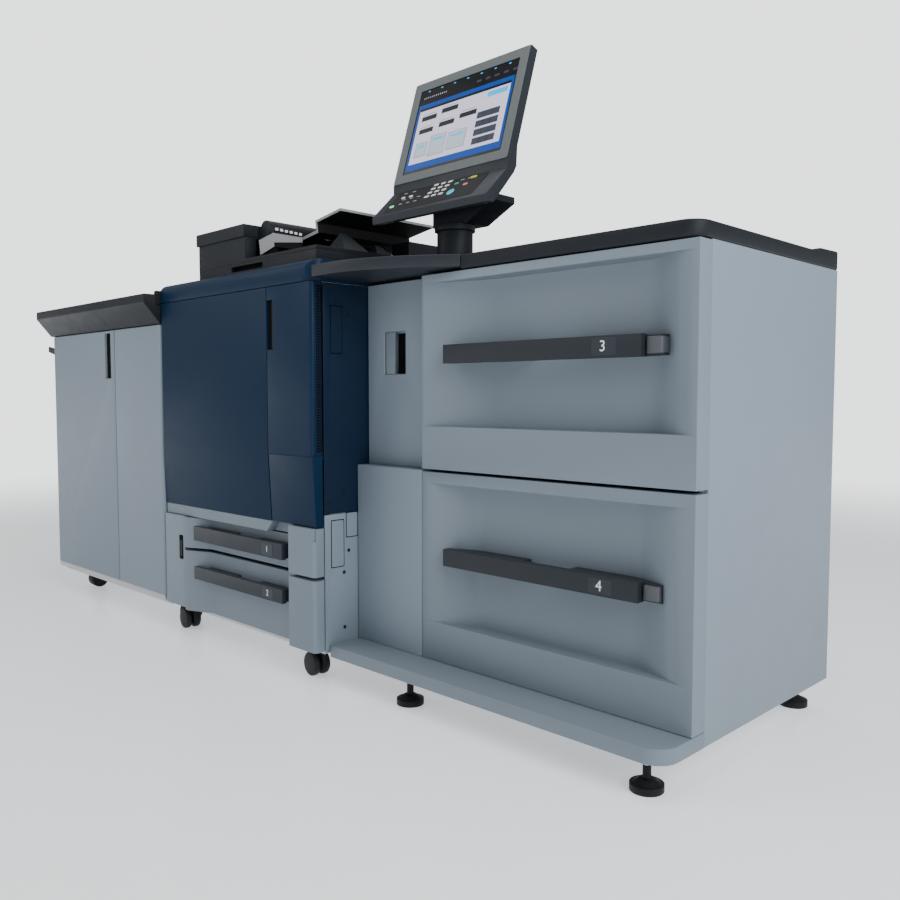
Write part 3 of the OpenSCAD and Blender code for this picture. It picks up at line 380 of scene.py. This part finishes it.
def on_tray(u, v, w):
    """A place on the document tray: u up its slope, v back from its front edge, w out of it."""
    return at(389 + u * math.cos(TRAY) - w * math.sin(TRAY), 100 + v,
              1142 + u * math.sin(TRAY) + w * math.cos(TRAY))


def refined(node, width=None, material=None, angle=32):
    """A clean copy of a frame node with softened edges, standing in for it."""
    source = frame["nodes"][node]
    mesh = source.data.copy()
    bm = bmesh.new()
    bm.from_mesh(mesh)
    bmesh.ops.remove_doubles(bm, verts=bm.verts, dist=0.00002)
    bmesh.ops.dissolve_limit(bm, angle_limit=math.radians(0.6), verts=bm.verts, edges=bm.edges,
                             delimit={"NORMAL"})
    bm.to_mesh(mesh)
    bm.free()
    obj = link_mesh(node + "_skin", mesh)
    if width is None:
        width = bpy.context.scene.copier_sizes.edge_radius
    soften(obj, width, angle=angle)
    slot = SLOT_OF[node]
    return finish_piece(obj, material or MATERIAL_OF_SLOT.get(slot, slot), BODY_OF[node], (node,))


# ---------------------------------------------------------------- repeated pieces

def tree_input(tree, name, kind, default=None):
    """An input on a geometry tree, with its default."""
    item = tree.interface.new_socket(name=name, in_out="INPUT", socket_type=kind)
    if default is not None:
        item.default_value = default


def grid_tree():
    """Repeats the mesh it is given on a grid: columns and rows with their pitches, turned and placed."""
    found = bpy.data.node_groups.get("rows_and_columns")
    if found:
        return found
    t = bpy.data.node_groups.new("rows_and_columns", "GeometryNodeTree")
    tree_input(t, "Geometry", "NodeSocketGeometry")
    tree_input(t, "Columns", "NodeSocketInt", 4)
    tree_input(t, "Rows", "NodeSocketInt", 4)
    tree_input(t, "Width", "NodeSocketFloat", 0.1)
    tree_input(t, "Height", "NodeSocketFloat", 0.1)
    tree_input(t, "Turn", "NodeSocketVector")
    tree_input(t, "Place", "NodeSocketVector")
    tree_input(t, "Finish", "NodeSocketMaterial")
    t.interface.new_socket(name="Geometry", in_out="OUTPUT", socket_type="NodeSocketGeometry")
    n, link = t.nodes, t.links
    gin, gout = n.new("NodeGroupInput"), n.new("NodeGroupOutput")
    grid = n.new("GeometryNodeMeshGrid")
    move = n.new("GeometryNodeTransform")
    copies = n.new("GeometryNodeInstanceOnPoints")
    real = n.new("GeometryNodeRealizeInstances")
    paint = n.new("GeometryNodeSetMaterial")
    link.new(gin.outputs["Width"], grid.inputs["Size X"])
    link.new(gin.outputs["Height"], grid.inputs["Size Y"])
    link.new(gin.outputs["Columns"], grid.inputs["Vertices X"])
    link.new(gin.outputs["Rows"], grid.inputs["Vertices Y"])
    link.new(grid.outputs["Mesh"], move.inputs["Geometry"])
    link.new(gin.outputs["Turn"], move.inputs["Rotation"])
    link.new(gin.outputs["Place"], move.inputs["Translation"])
    link.new(move.outputs["Geometry"], copies.inputs["Points"])
    link.new(gin.outputs["Geometry"], copies.inputs["Instance"])
    link.new(copies.outputs["Instances"], real.inputs["Geometry"])
    link.new(real.outputs["Geometry"], paint.inputs["Geometry"])
    link.new(gin.outputs["Finish"], paint.inputs["Material"])
    link.new(paint.outputs["Geometry"], gout.inputs["Geometry"])
    return t


def points_tree():
    """Sets a piece on every point of the mesh it is given."""
    found = bpy.data.node_groups.get("piece_at_points")
    if found:
        return found
    t = bpy.data.node_groups.new("piece_at_points", "GeometryNodeTree")
    tree_input(t, "Geometry", "NodeSocketGeometry")
    tree_input(t, "Piece", "NodeSocketObject")
    tree_input(t, "Finish", "NodeSocketMaterial")
    t.interface.new_socket(name="Geometry", in_out="OUTPUT", socket_type="NodeSocketGeometry")
    n, link = t.nodes, t.links
    gin, gout = n.new("NodeGroupInput"), n.new("NodeGroupOutput")
    info = n.new("GeometryNodeObjectInfo")
    copies = n.new("GeometryNodeInstanceOnPoints")
    real = n.new("GeometryNodeRealizeInstances")
    paint = n.new("GeometryNodeSetMaterial")
    link.new(gin.outputs["Piece"], info.inputs["Object"])
    link.new(gin.outputs["Geometry"], copies.inputs["Points"])
    link.new(info.outputs["Geometry"], copies.inputs["Instance"])
    link.new(copies.outputs["Instances"], real.inputs["Geometry"])
    link.new(real.outputs["Geometry"], paint.inputs["Geometry"])
    link.new(gin.outputs["Finish"], paint.inputs["Material"])
    link.new(paint.outputs["Geometry"], gout.inputs["Geometry"])
    return t


def run_tree(obj, tree, values):
    """Evaluates a geometry tree on an object and keeps the result as its plain mesh."""
    mod = obj.modifiers.new("repeat", "NODES")
    mod.node_group = tree
    for item in tree.interface.items_tree:
        if item.item_type == "SOCKET" and item.in_out == "INPUT" and item.name in values:
            mod[item.identifier] = values[item.name]
    depsgraph = bpy.context.evaluated_depsgraph_get()
    mesh = bpy.data.meshes.new_from_object(obj.evaluated_get(depsgraph))
    obj.modifiers.remove(mod)
    obj.data = mesh
    return obj


def shift_mesh(obj, offset):
    """Moves a mesh inside its object."""
    obj.data.transform(Matrix.Translation(offset))
    return obj


def grid_of(piece, columns, rows, width, height, turn, place, material, body, edge=0.0):
    """Rows and columns of a small piece that is drawn round the datum."""
    shift_mesh(piece, -DATUM)
    run_tree(piece, grid_tree(), {
        "Columns": columns, "Rows": rows, "Width": width * MM, "Height": height * MM,
        "Turn": turn, "Place": tuple(place), "Finish": MATERIALS[material]})
    soften(piece, edge * MM, segments=2)
    return finish_piece(piece, material, body)


def screw_head(name, axis):
    """Domed screw head with a cross recess, drawn round the datum."""
    r = bpy.context.scene.copier_sizes.screw_radius / MM
    sides, verts, faces = 20, [], []
    rings = [(r, 0.0), (r, 0.9), (r * 0.8, 1.5), (r * 0.45, 1.7), (r * 0.4, 0.8)]
    turn = {"x": lambda a, b, t: at(t, a, b), "y": lambda a, b, t: at(a, t, b)}[axis]
    for radius, t in rings:
        for i in range(sides):
            a = 2 * math.pi * i / sides
            pinch = 0.55 if radius < r * 0.43 and i % 5 else 1.0
            verts.append(turn(radius * pinch * math.cos(a), radius * pinch * math.sin(a), t))
    for band in range(len(rings) - 1):
        a, b = band * sides, (band + 1) * sides
        faces += [[a + i, a + (i + 1) % sides, b + (i + 1) % sides, b + i] for i in range(sides)]
    faces += [list(range(sides)), list(range((len(rings) - 1) * sides, len(rings) * sides))]
    return mesh_from(name, verts, faces)


def screws(name, axis, places, body, material="black"):
    """Cover screws at places given in millimetres from the datum."""
    head = shift_mesh(screw_head(name + "_head", axis), -DATUM)
    points = bpy.data.meshes.new(name)
    points.from_pydata([tuple(at(*p)) for p in places], [], [])
    obj = run_tree(link_mesh(name, points), points_tree(), {"Piece": head, "Finish": MATERIALS[material]})
    bpy.data.objects.remove(head)
    soften(obj, 0)
    return finish_piece(obj, material, body)


def digit(name, text, turn, body, height=None):
    """A plain tray number, standing a little proud of its plate."""
    curve = bpy.data.curves.new(name, "FONT")
    curve.body = text
    curve.size = (height or bpy.context.scene.copier_sizes.digit_height)
    curve.extrude = 0.0003
    curve.align_x, curve.align_y = "CENTER", "CENTER"
    flat = bpy.data.objects.new(name + "_flat", curve)
    bpy.context.scene.collection.objects.link(flat)
    mesh = bpy.data.meshes.new_from_object(flat.evaluated_get(bpy.context.evaluated_depsgraph_get()))
    bpy.data.objects.remove(flat)
    mesh.transform(turn)
    return finish_piece(link_mesh(name, mesh), "digit_white", body)


def facing_front(x, y, z):
    """Stands a flat drawing up at a place, so that it reads from the front."""
    return Matrix.Translation(at(x, y, z)) @ Matrix.Rotation(math.radians(90), 4, "X")


# ---------------------------------------------------------------- operators

class CopierOperator(bpy.types.Operator):
    """Shared base of the copier's operators"""
    bl_idname = "copier.base"
    bl_label = "Copier"
    bl_options = {"REGISTER", "UNDO"}

    def execute(self, context):
        self.make(context)
        return {"FINISHED"}

    def make(self, context):
        raise NotImplementedError


class COPIER_OT_stage(CopierOperator):
    """Floor, lights and camera"""
    bl_idname = "copier.stage"
    bl_label = "Stage"

    def make(self, context):
        size = 30.0
        floor = mesh_from("floor", [(-size, -size, -0.0005), (size, -size, -0.0005), (size, size, -0.0005),
                                    (-size, size, -0.0005)], [[0, 1, 2, 3]])
        m = bpy.data.materials.new("studio_floor")
        m.use_nodes = True
        shader = m.node_tree.nodes["Principled BSDF"]
        shader.inputs["Base Color"].default_value = (0.9, 0.91, 0.92, 1)
        shader.inputs["Roughness"].default_value = 0.16
        shader.inputs["Emission Color"].default_value = (0.95, 0.97, 1.0, 1)
        shader.inputs["Emission Strength"].default_value = 0.5
        self.fade_floor(m.node_tree, shader)
        floor.data.materials.append(m)
        world = bpy.data.worlds.new("studio")
        world.use_nodes = True
        self.light_sky(world.node_tree)
        context.scene.world = world
        for name, place, aim, extent, power, colour in (
                ("key_light", (-2200, -2800, 3200), (-200, 200, 600), 3.0, 50, (1.0, 0.98, 0.96)),
                ("side_light", (4800, -600, 2600), (1500, 400, 600), 2.5, 145, (0.95, 0.98, 1.0)),
                ("top_light", (600, 600, 4600), (600, 300, 900), 4.0, 90, (1.0, 1.0, 1.0))):
            data = bpy.data.lights.new(name, "AREA")
            data.shape = "SQUARE"
            data.size = extent
            data.energy = power
            data.color = colour
            light = bpy.data.objects.new(name, data)
            context.scene.collection.objects.link(light)
            light.location = at(*place)
            light.rotation_euler = (at(*aim) - at(*place)).to_track_quat("-Z", "Y").to_euler()
        camera = bpy.data.objects.new("camera", bpy.data.cameras.new("camera"))
        camera.data.sensor_width = 36.0
        camera.data.lens = context.scene.copier_sizes.lens
        camera.location = at(*CAMERA)
        camera.rotation_euler = Euler((math.pi / 2 - CAMERA_DIP, 0, CAMERA_TURN))
        camera.data.clip_end = 100
        context.scene.collection.objects.link(camera)
        context.scene.camera = camera

    def fade_floor(self, tree, shader):
        """Turns the floor far from the object to the backdrop's own colour."""
        place = tree.nodes.new("ShaderNodeTexCoord")
        reach = tree.nodes.new("ShaderNodeVectorMath")
        reach.operation = "LENGTH"
        share = tree.nodes.new("ShaderNodeMapRange")
        share.interpolation_type = "SMOOTHSTEP"
        share.inputs["From Min"].default_value = 2.2
        share.inputs["From Max"].default_value = 6.5
        glow = tree.nodes.new("ShaderNodeEmission")
        glow.inputs["Color"].default_value = (0.95, 0.97, 1.0, 1)
        glow.inputs["Strength"].default_value = BACKDROP
        blend = tree.nodes.new("ShaderNodeMixShader")
        tree.links.new(place.outputs["Object"], reach.inputs[0])
        tree.links.new(reach.outputs["Value"], share.inputs["Value"])
        tree.links.new(share.outputs["Result"], blend.inputs[0])
        tree.links.new(shader.outputs[0], blend.inputs[1])
        tree.links.new(glow.outputs[0], blend.inputs[2])
        tree.links.new(blend.outputs[0], tree.nodes["Material Output"].inputs["Surface"])

    def light_sky(self, tree):
        """Soft even light, with a brighter plain backdrop behind it."""
        sky = tree.nodes["Background"]
        sky.inputs["Color"].default_value = (0.95, 0.97, 1.0, 1)
        seen = tree.nodes.new("ShaderNodeLightPath")
        level = tree.nodes.new("ShaderNodeMath")
        level.operation = "MULTIPLY_ADD"
        level.inputs[1].default_value = BACKDROP - SKY
        level.inputs[2].default_value = SKY
        tree.links.new(seen.outputs["Is Camera Ray"], level.inputs[0])
        tree.links.new(level.outputs[0], sky.inputs["Strength"])


class COPIER_OT_engine(CopierOperator):
    """Covers, doors and side details of the print engine"""
    bl_idname = "copier.engine"
    bl_label = "Print engine"

    def make(self, context):
        for node, width in (("engine_frame", 0.0008), ("engine_rear_cover", 0.0018),
                            ("engine_top_cover", 0.003), ("left_pillar", 0.003), ("lower_band", 0.002),
                            ("lower_front_cover", 0.003),
                            ("side_cover_upper", 0.0012), ("side_cover_lower", 0.0012), ("front_door", 0.003),
                            ("toner_door", 0.0024)):
            refined(node, width)
        self.toner_door_details()
        self.side_details()
        self.front_details()
        self.rear_details()

    def toner_door_details(self):
        """Grip, the painted shade of its recess, and the vents of the narrow door, whose slots are painted
        shade.
        """
        # A near-black sheet behind the grip paints the shade in the handle's recess.
        shade_sheet = plate("toner_handle_liner", "y", 571.4, 836.6, 598.6, 960.6, 6, 12, 3)
        soften(shade_sheet, 0.0006)
        finish_piece(shade_sheet, "shade_and_seam_black", "toner_door")
        grip = prism("toner_handle_grip",
                     [(590, 6.2), (598.6, 6.2), (598.6, 0.2), (595.5, 0.0), (592.5, 1.2)], "z", 838.5, 959)
        soften(grip, 0.0006)
        finish_piece(grip, "black", "toner_door")
        backing = plate("vent_backing", "x", 13, 576, 30.5, 990, 758.2, 760.5, 2)
        soften(backing, 0.0004)
        finish_piece(backing, "navy_side", "toner_door")
        # The vent slots are near-black plates that paint the shade inside the vent holes.
        slot = plate("vent_slots", "x", -1.6, -2.4, 1.6, 2.4, -0.3, 0.25, 1.2)
        grid_of(slot, 60, 4, 400, 12.6, (0, math.radians(90), 0), at(760.6, 21.8, 783), "shade_and_seam_black",
                "toner_door")

    def side_details(self):
        """Small access covers and screws of the right side."""
        edge = 2.2
        for name, box, paint in (("access_cover", (60.5, 824, 93.5, 938), "navy_side"),
                                 ("lower_access_cover", (57, 292, 94, 408), "blue_grey"),
                                 ("lower_rear_cover", (104, 364, 138, 424), "blue_grey")):
            rim = plate(name + "_rim", "x", box[0] - edge, box[1] - edge, box[2] + edge, box[3] + edge,
                        759.6, 760.25, 3)
            soften(rim, 0)
            finish_piece(rim, "shade_and_seam_black", "machine")
            lid = plate(name, "x", *box, 759.7, 760.9, 2.5)
            soften(lid, 0.0004)
            finish_piece(lid, paint, "machine")
        screws("side_screws", "x", [(760, 111, 918), (760, 96, 706), (760, 93, 481), (760, 45, 453),
                                    (760, 300, 918), (760, 560, 918), (760, 840, 918),
                                    (760, 840, 481)], "machine")
        screws("lower_side_screws", "x", [(760, 110, 329), (760, 95, 275), (760, 96, 135), (760, 400, 275),
                                          (760, 840, 275), (760, 840, 135)], "machine")

    def front_details(self):
        """Latch of the left pillar."""
        # The near-black plate round the paddle paints the shade in the latch's recess.
        latch_recess_shade = plate("pillar_latch", "y", 90, 234, 112, 306, 1.0, 2.6, 4)
        soften(latch_recess_shade, 0.0005)
        finish_piece(latch_recess_shade, "shade_and_seam_black", "machine")
        paddle = plate("pillar_latch_paddle", "y", 95, 242, 108, 290, 0.2, 1.6, 3)
        soften(paddle, 0.0005)
        finish_piece(paddle, "black", "machine")

    def rear_details(self):
        """Screws and the seam of the rear cover."""
        back = 903
        screws("engine_back_screws", "y",
               [(x, back, z) for x in (18, 380, 742) for z in (110, 420, 700, 975)], "machine")
        seam = plate("engine_back_seam", "y", 4, 518, 756, 519.5, back - 0.4, back + 0.15, 0.5)
        soften(seam, 0)
        finish_piece(seam, "shade_and_seam_black", "machine")


class COPIER_OT_trays(CopierOperator):
    """Paper trays of the engine with their handles and numbers"""
    bl_idname = "copier.trays"
    bl_label = "Paper trays"

    def make(self, context):
        for node in ("tray_1", "tray_2"):
            refined(node, 0.0026)
        for number, node, body in (("1", "tray_1_handle", "tray_1_drawer"),
                                   ("2", "tray_2_handle", "tray_2_drawer")):
            refined(node, 0.004, "grip_grey")
            low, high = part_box(node)
            z0, z1 = (low.z / MM), (high.z / MM)
            label = plate(node + "_label", "y", 534, z0 + 5, 584, z1 - 5, -0.8, 1, 3)
            soften(label, 0.0006)
            finish_piece(label, "label_grey", body)
            digit(node + "_number", number, facing_front(559, -1.0, (z0 + z1) / 2), body)
        strip = prism("tray_gap_strip", [(545, 366), (643, 366), (643, 393.5), (545, 393.5)], "y", 33, 35)
        soften(strip, 0.0004)
        finish_piece(strip, "light_grey", "machine")


class COPIER_OT_supply(CopierOperator):
    """Supply cabinet: drawers, slabs, relay section and feet"""
    bl_idname = "copier.supply"
    bl_label = "Supply cabinet"

    def make(self, context):
        for node, width in (("supply_frame", 0.0008), ("supply_rear_cover", 0.0015), ("side_panel", 0.002),
                            ("foot_tray", 0.004), ("leveling_feet", 0.001), ("top_slab", 0.004),
                            ("work_shelf", 0.003), ("relay_box_cover", 0.003), ("relay_door", 0.002),
                            ("relay_latch", 0.0015), ("drawer_3", 0.004), ("drawer_4", 0.004)):
            refined(node, width, "handle_grey" if node == "work_shelf" else None)
        for number, node, body, x in (("3", "drawer_3_handle", "supply_drawer_3", 1515),
                                      ("4", "drawer_4_handle", "supply_drawer_4", 1512)):
            refined(node, 0.006, "handle_grey")
            low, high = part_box(node)
            z0, z1 = (low.z / MM), (high.z / MM)
            front = (low.y - DATUM.y) / MM
            label = plate(node + "_label", "y", x - 26, z0 + 4, x + 30, z1 - 4, front - 0.8, front + 1, 4)
            soften(label, 0.0006)
            finish_piece(label, "grip_grey", body)
            digit(node + "_number", number, facing_front(x, front - 1.0, (z0 + z1) / 2), body, 0.03)
            cap = prism(node + "_cap", rounded_outline(1600.5, front + 13, 1636, 171, 6), "z", z0 + 5, z1 - 5)
            soften(cap, 0.003)
            finish_piece(cap, "cap_grey", body)
        # A near-black sheet paints the shade in the relay door's recess.
        shade_sheet = plate("relay_recess_liner", "y", 866, 773, 903.4, 871.4, 186, 189.2, 3)
        soften(shade_sheet, 0.0005)
        finish_piece(shade_sheet, "shade_and_seam_black", "relay_door")
        for x, y in ((1006, 95), (1644, 95), (1006, 720), (1644, 720)):
            nut = ring("foot_nut_%d_%d" % (x, y), (x, y, 0), "z", 8.2, 13, 50, 57, 6)
            soften(nut, 0.0008)
            finish_piece(nut, "zinc_nut", "machine")
        screws("supply_back_screws", "y",
               [(x, 749, z) for x in (790, 1240, 1680) for z in (100, 540, 960)], "machine")


class COPIER_OT_finisher(CopierOperator):
    """Finisher: doors, shell, slab and exit tray"""
    bl_idname = "copier.finisher"
    bl_label = "Finisher"

    def make(self, context):
        for node, width in (("finisher_frame", 0.0008), ("finisher_shell", 0.0015),
                            ("finisher_top_cover", 0.003), ("finisher_left_door", 0.003),
                            ("finisher_right_door", 0.003),
                            ("finisher_exit_tray", 0.0015), ("finisher_casters", 0.003)):
            refined(node, width)
        # A near-black sheet paints the shade in the finisher door's slot.
        shade_sheet = plate("finisher_slot_liner", "y", -392.4, 777.6, -350.6, 925.4, 8, 14, 4)
        soften(shade_sheet, 0.0005)
        finish_piece(shade_sheet, "shade_and_seam_black", "finisher_left_door")
        nose = plate("finisher_joint_cap", "y", -14, 990, 4, 1034, -12, 30, 6)
        soften(nose, 0.002)
        finish_piece(nose, "black", "machine")
        screws("finisher_back_screws", "y",
               [(x, 723, z) for x in (-815, -410, -20) for z in (110, 500, 900)], "machine")


class COPIER_OT_feeder(CopierOperator):
    """Scanner and document feeder"""
    bl_idname = "copier.feeder"
    bl_label = "Scanner and feeder"

    def make(self, context):
        for node, width, material in (("scanner_body", 0.003, None), ("platen_glass", 0.0004, None),
                                      ("feeder_body", 0.003, None), ("feeder_cover", 0.009, None),
                                      ("document_tray", 0.0012, "black"), ("guide_front", 0.001, None),
                                      ("guide_rear", 0.001, None), ("pickup_roller", 0.001, None)):
            refined(node, width, material)
        # A near-black sheet paints the shade in the scanner's finger slot.
        shade_sheet = plate("scanner_slot_liner", "y", 275, 1069, 431, 1081.5, 94, 98, 2)
        soften(shade_sheet, 0)
        finish_piece(shade_sheet, "shade_and_seam_black", "machine")
        self.tray_rim()

    def tray_rim(self):
        """Light edge that runs round the document tray, and the row of pads at its mouth."""
        rear = (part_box("document_tray")[1].y - DATUM.y) / MM - 100

        def along(a, b, t):
            return on_tray(a, t, b)

        def across(a, b, t):
            return on_tray(t, a, b)

        for name, put, low, high, outline in (
                ("tray_rim_cheek", along, -1.6, 0.2, [(0, -36), (68, -31), (68, 6), (0, 6)]),
                ("tray_rim_side", across, 67.8, 69.5, [(-1.6, -20), (95, -8), (95, 6.4), (-1.6, 6.4)]),
                ("tray_rim_low", along, 94.6, 96.4, [(68, -2), (142, -2), (142, 6.5), (68, 6.5)]),
                ("tray_rim_riser", along, 94.4, 96.4, [(135, 0), (142, 0), (142, 34.5), (135, 34.5)]),
                ("tray_rim_high", along, 94.6, 96.4, [(137, 27), (247, 27), (247, 34.5), (137, 34.5)]),
                ("tray_rim_end", across, 245.8, 247.6, [(94.6, 27), (rear, 27), (rear, 34.5), (94.6, 34.5)])):
            strip = prism(name, outline, None, low, high, put)
            soften(strip, 0.0005)
            finish_piece(strip, "rim_grey", "feeder")
        ridge = prism("pad_ridge", [(102, 1158), (197, 1158), (197, 1172), (102, 1177)], "x", 440, 456)
        soften(ridge, 0.001)
        finish_piece(ridge, "black", "feeder")
        pad = plate("feed_pads", "x", -5, -3.5, 5, 3.5, 0, 1.4, 1.5)
        grid_of(pad, 1, 6, 1, 78, (math.radians(-3), 0, 0), at(456.2, 150, 1168.5), "key_white", "feeder",
                0.3)


class COPIER_OT_panel(CopierOperator):
    """Operation panel with its screen and keys"""
    bl_idname = "copier.panel"
    bl_label = "Operation panel"

    def make(self, context):
        for node, width, material in (("panel_column", 0.002, None), ("panel_arm", 0.006, None),
                                      ("panel_housing", 0.005, "handle_grey"), ("touch_screen", 0.0008, None),
                                      ("number_keys", 0.0012, None), ("start_key", 0.0012, None)):
            refined(node, width, material)
        self.bezel()
        self.screen_page()
        self.key_plate()

    def bezel(self):
        """Light frame round the display, with a sloped inner edge."""
        outer = rounded_outline(1.5, 1.5, 385.5, 284, 5)
        inner = rounded_outline(27, 25, 360, 260, 2)
        count = len(outer)
        verts = []
        for points, w in ((outer, 0.2), (outer, 2.6), (inner, 2.2), (inner, 0.2)):
            verts += [on_face(u, v, w) for u, v in points]
        faces = []
        for band in range(4):
            a, b = band * count, (band + 1) % 4 * count
            faces += [[a + i, a + (i + 1) % count, b + (i + 1) % count, b + i] for i in range(count)]
        frame_piece = mesh_from("panel_bezel", verts, faces)
        soften(frame_piece, 0.0008)
        finish_piece(frame_piece, "bezel_grey", "panel")

    def tile(self, name, u0, v0, u1, v1, w, material, thick=0.15):
        """A flat field of the display's picture, in hundredths of the display from its lower left corner."""
        a, b, c, d = (27 + 3.33 * u0, 25 + 2.35 * v0, 27 + 3.33 * u1, 25 + 2.35 * v1)
        obj = prism(name, [(a, b), (c, b), (c, d), (a, d)], "z", w, w + thick, on_face)
        soften(obj, 0)
        finish_piece(obj, material, "panel")

    def screen_page(self):
        """Plain generic page on the display."""
        self.tile("screen_ground", 0, 0, 100, 100, 0.0, "screen_black")
        self.tile("screen_border", 1.5, 3.5, 98.5, 82, 0.2, "screen_frame")
        self.tile("screen_title", 4, 74, 96, 77, 0.42, "screen_black")
        self.tile("screen_page", 4, 11, 96, 74, 0.42, "screen_page")
        self.tile("screen_button", 75, 66, 94, 71.5, 0.62, "screen_sky")
        fields = ((8, 61, 16), (29, 64, 17), (8, 46, 15), (29, 48, 16), (50, 51, 17))
        for i, (u, v, wide) in enumerate(fields):
            self.tile("screen_field_%d" % i, u, v, u + wide, v + 5.5, 0.62, "screen_key")
            self.tile("screen_label_%d" % i, u + 1, v + 7, u + wide - 2, v + 8, 0.62, "screen_mark")
        for i, (u, v, wide, high) in enumerate(((8, 18, 13, 17), (23, 16, 17, 24), (42, 17, 19, 21))):
            self.tile("screen_unit_%d" % i, u, v, u + wide, v + high, 0.62, "screen_mark")
            self.tile("screen_unit_face_%d" % i, u + 0.8, v + 1, u + wide - 0.8, v + high - 1, 0.8,
                      "screen_unit")
            self.tile("screen_unit_slot_%d" % i, u + 3, v + high - 6, u + wide - 3, v + high - 4, 0.97,
                      "screen_sky")
        self.grid("screen_cells", 26, 17, 3, 4, 46, 68, 79.5, 33, 0.62, "screen_cell")
        self.grid("screen_marks", 7, 3, 7, 1, 272, 0, 50, 97.5, 0.2, "screen_sky")
        self.grid("screen_letters", 3, 4, 12, 1, 78, 0, 17, 90, 0.2, "screen_mark")
        self.grid("screen_tabs", 15, 6, 5, 1, 116, 0, 80, 89, 0.2, "screen_cell")

    def grid(self, name, wide, high, columns, rows, width, height, u, v, w, material):
        """Like fields of the display on a grid with its middle at u, v hundredths."""
        cell = prism(name, rounded_outline(-wide / 2, -high / 2, wide / 2, high / 2, 1, 3), "z", 0, 0.2)
        grid_of(cell, columns, rows, width, height, (0, 0, 0), Vector((0, 0, 0)), material, "panel")
        cell.data.transform(Matrix.Translation(on_face(27 + 3.33 * u, 25 + 2.35 * v, w))
                            @ Matrix.Rotation(math.pi / 2 - LEAN, 4, "X"))

    def key_plate(self):
        """Raised plate of the key deck with its small keys and marks."""
        raised = plate("key_plate", "z", -163, -88, 141, -3, 0.0, 2.0, 5, on_deck)
        soften(raised, 0.0008)
        finish_piece(raised, "black", "panel")
        for name, u, v, wide, deep, material in (("reset_key", 52, -25, 13, 8, "key_teal"),
                                                 ("stop_key", 88, -37, 13, 8, "key_pink"),
                                                 ("power_key", 98, -12, 20, 7, "key_yellow"),
                                                 ("help_key", -128, -34, 12, 7, "key_white"),
                                                 ("mode_key", -100, -34, 12, 7, "key_white"),
                                                 ("login_key", -146, -66, 14, 8, "lamp_green")):
            cap = plate(name, "z", u - wide / 2, v - deep / 2, u + wide / 2, v + deep / 2, 1.2, 3.4, 2.5,
                        on_deck)
            soften(cap, 0.0006)
            finish_piece(cap, material, "panel")
        turn = Matrix.Rotation(DECK, 4, "X")
        for name, u, v, columns, rows, width, height in (("deck_marks", -92, -52, 3, 2, 52, 18),
                                                         ("key_labels", 74, -12, 2, 1, 22, 0),
                                                         ("deck_lamps", -118, -14, 2, 1, 30, 0)):
            mark = prism(name, rounded_outline(-6, -1.2, 6, 1.2, 0.8, 3), "z", 0, 0.4)
            grid_of(mark, columns, rows, width, height, (0, 0, 0), Vector((0, 0, 0)), "screen_mark", "panel")
            mark.data.transform(Matrix.Translation(on_deck(u, v, 1.9)) @ turn)


class COPIER_OT_running_gear(CopierOperator):
    """Casters, rollers, drums and other working pieces"""
    bl_idname = "copier.running_gear"
    bl_label = "Running gear"

    def make(self, context):
        for node, width in (("caster_fork_left", 0.001), ("caster_fork_right", 0.001),
                            ("caster_wheels_left", 0.005), ("caster_wheels_right", 0.005),
                            ("rear_wheels_left", 0.005),
                            ("rear_wheels_right", 0.005), ("drum_units", 0.001), ("transfer_belt", 0.0003),
                            ("fuser_roller", 0.001), ("pressure_roller", 0.001), ("toner_bottles", 0.004)):
            refined(node, width)


STEPS = (COPIER_OT_stage, COPIER_OT_engine, COPIER_OT_trays, COPIER_OT_supply, COPIER_OT_finisher,
         COPIER_OT_feeder, COPIER_OT_panel, COPIER_OT_running_gear)


class COPIER_PT_sidebar(bpy.types.Panel):
    """Lists the copier's sizes, colours and building steps"""
    bl_idname = "COPIER_PT_sidebar"
    bl_label = "Copier"
    bl_space_type = "VIEW_3D"
    bl_region_type = "UI"
    bl_category = "Copier"

    def draw(self, context):
        for group in (context.scene.copier_sizes, context.scene.copier_colours):
            for name in group.__annotations__:
                self.layout.prop(group, name)
        for step in STEPS:
            self.layout.operator(step.bl_idname)


CLASSES = (CopierSizes, CopierColours, *STEPS, COPIER_PT_sidebar)


def register():
    """Adds the classes and the scene's settings."""
    for cls in CLASSES:
        bpy.utils.register_class(cls)
    bpy.types.Scene.copier_sizes = bpy.props.PointerProperty(type=CopierSizes)
    bpy.types.Scene.copier_colours = bpy.props.PointerProperty(type=CopierColours)


def unregister():
    """Takes away what register added."""
    del bpy.types.Scene.copier_colours
    del bpy.types.Scene.copier_sizes
    for cls in reversed(CLASSES):
        bpy.utils.unregister_class(cls)


def main():
    """Builds the whole copier."""
    register()
    make_materials()
    for step in STEPS:
        group, name = step.bl_idname.split(".")
        getattr(getattr(bpy.ops, group), name)()


if __name__ == "__main__":
    main()
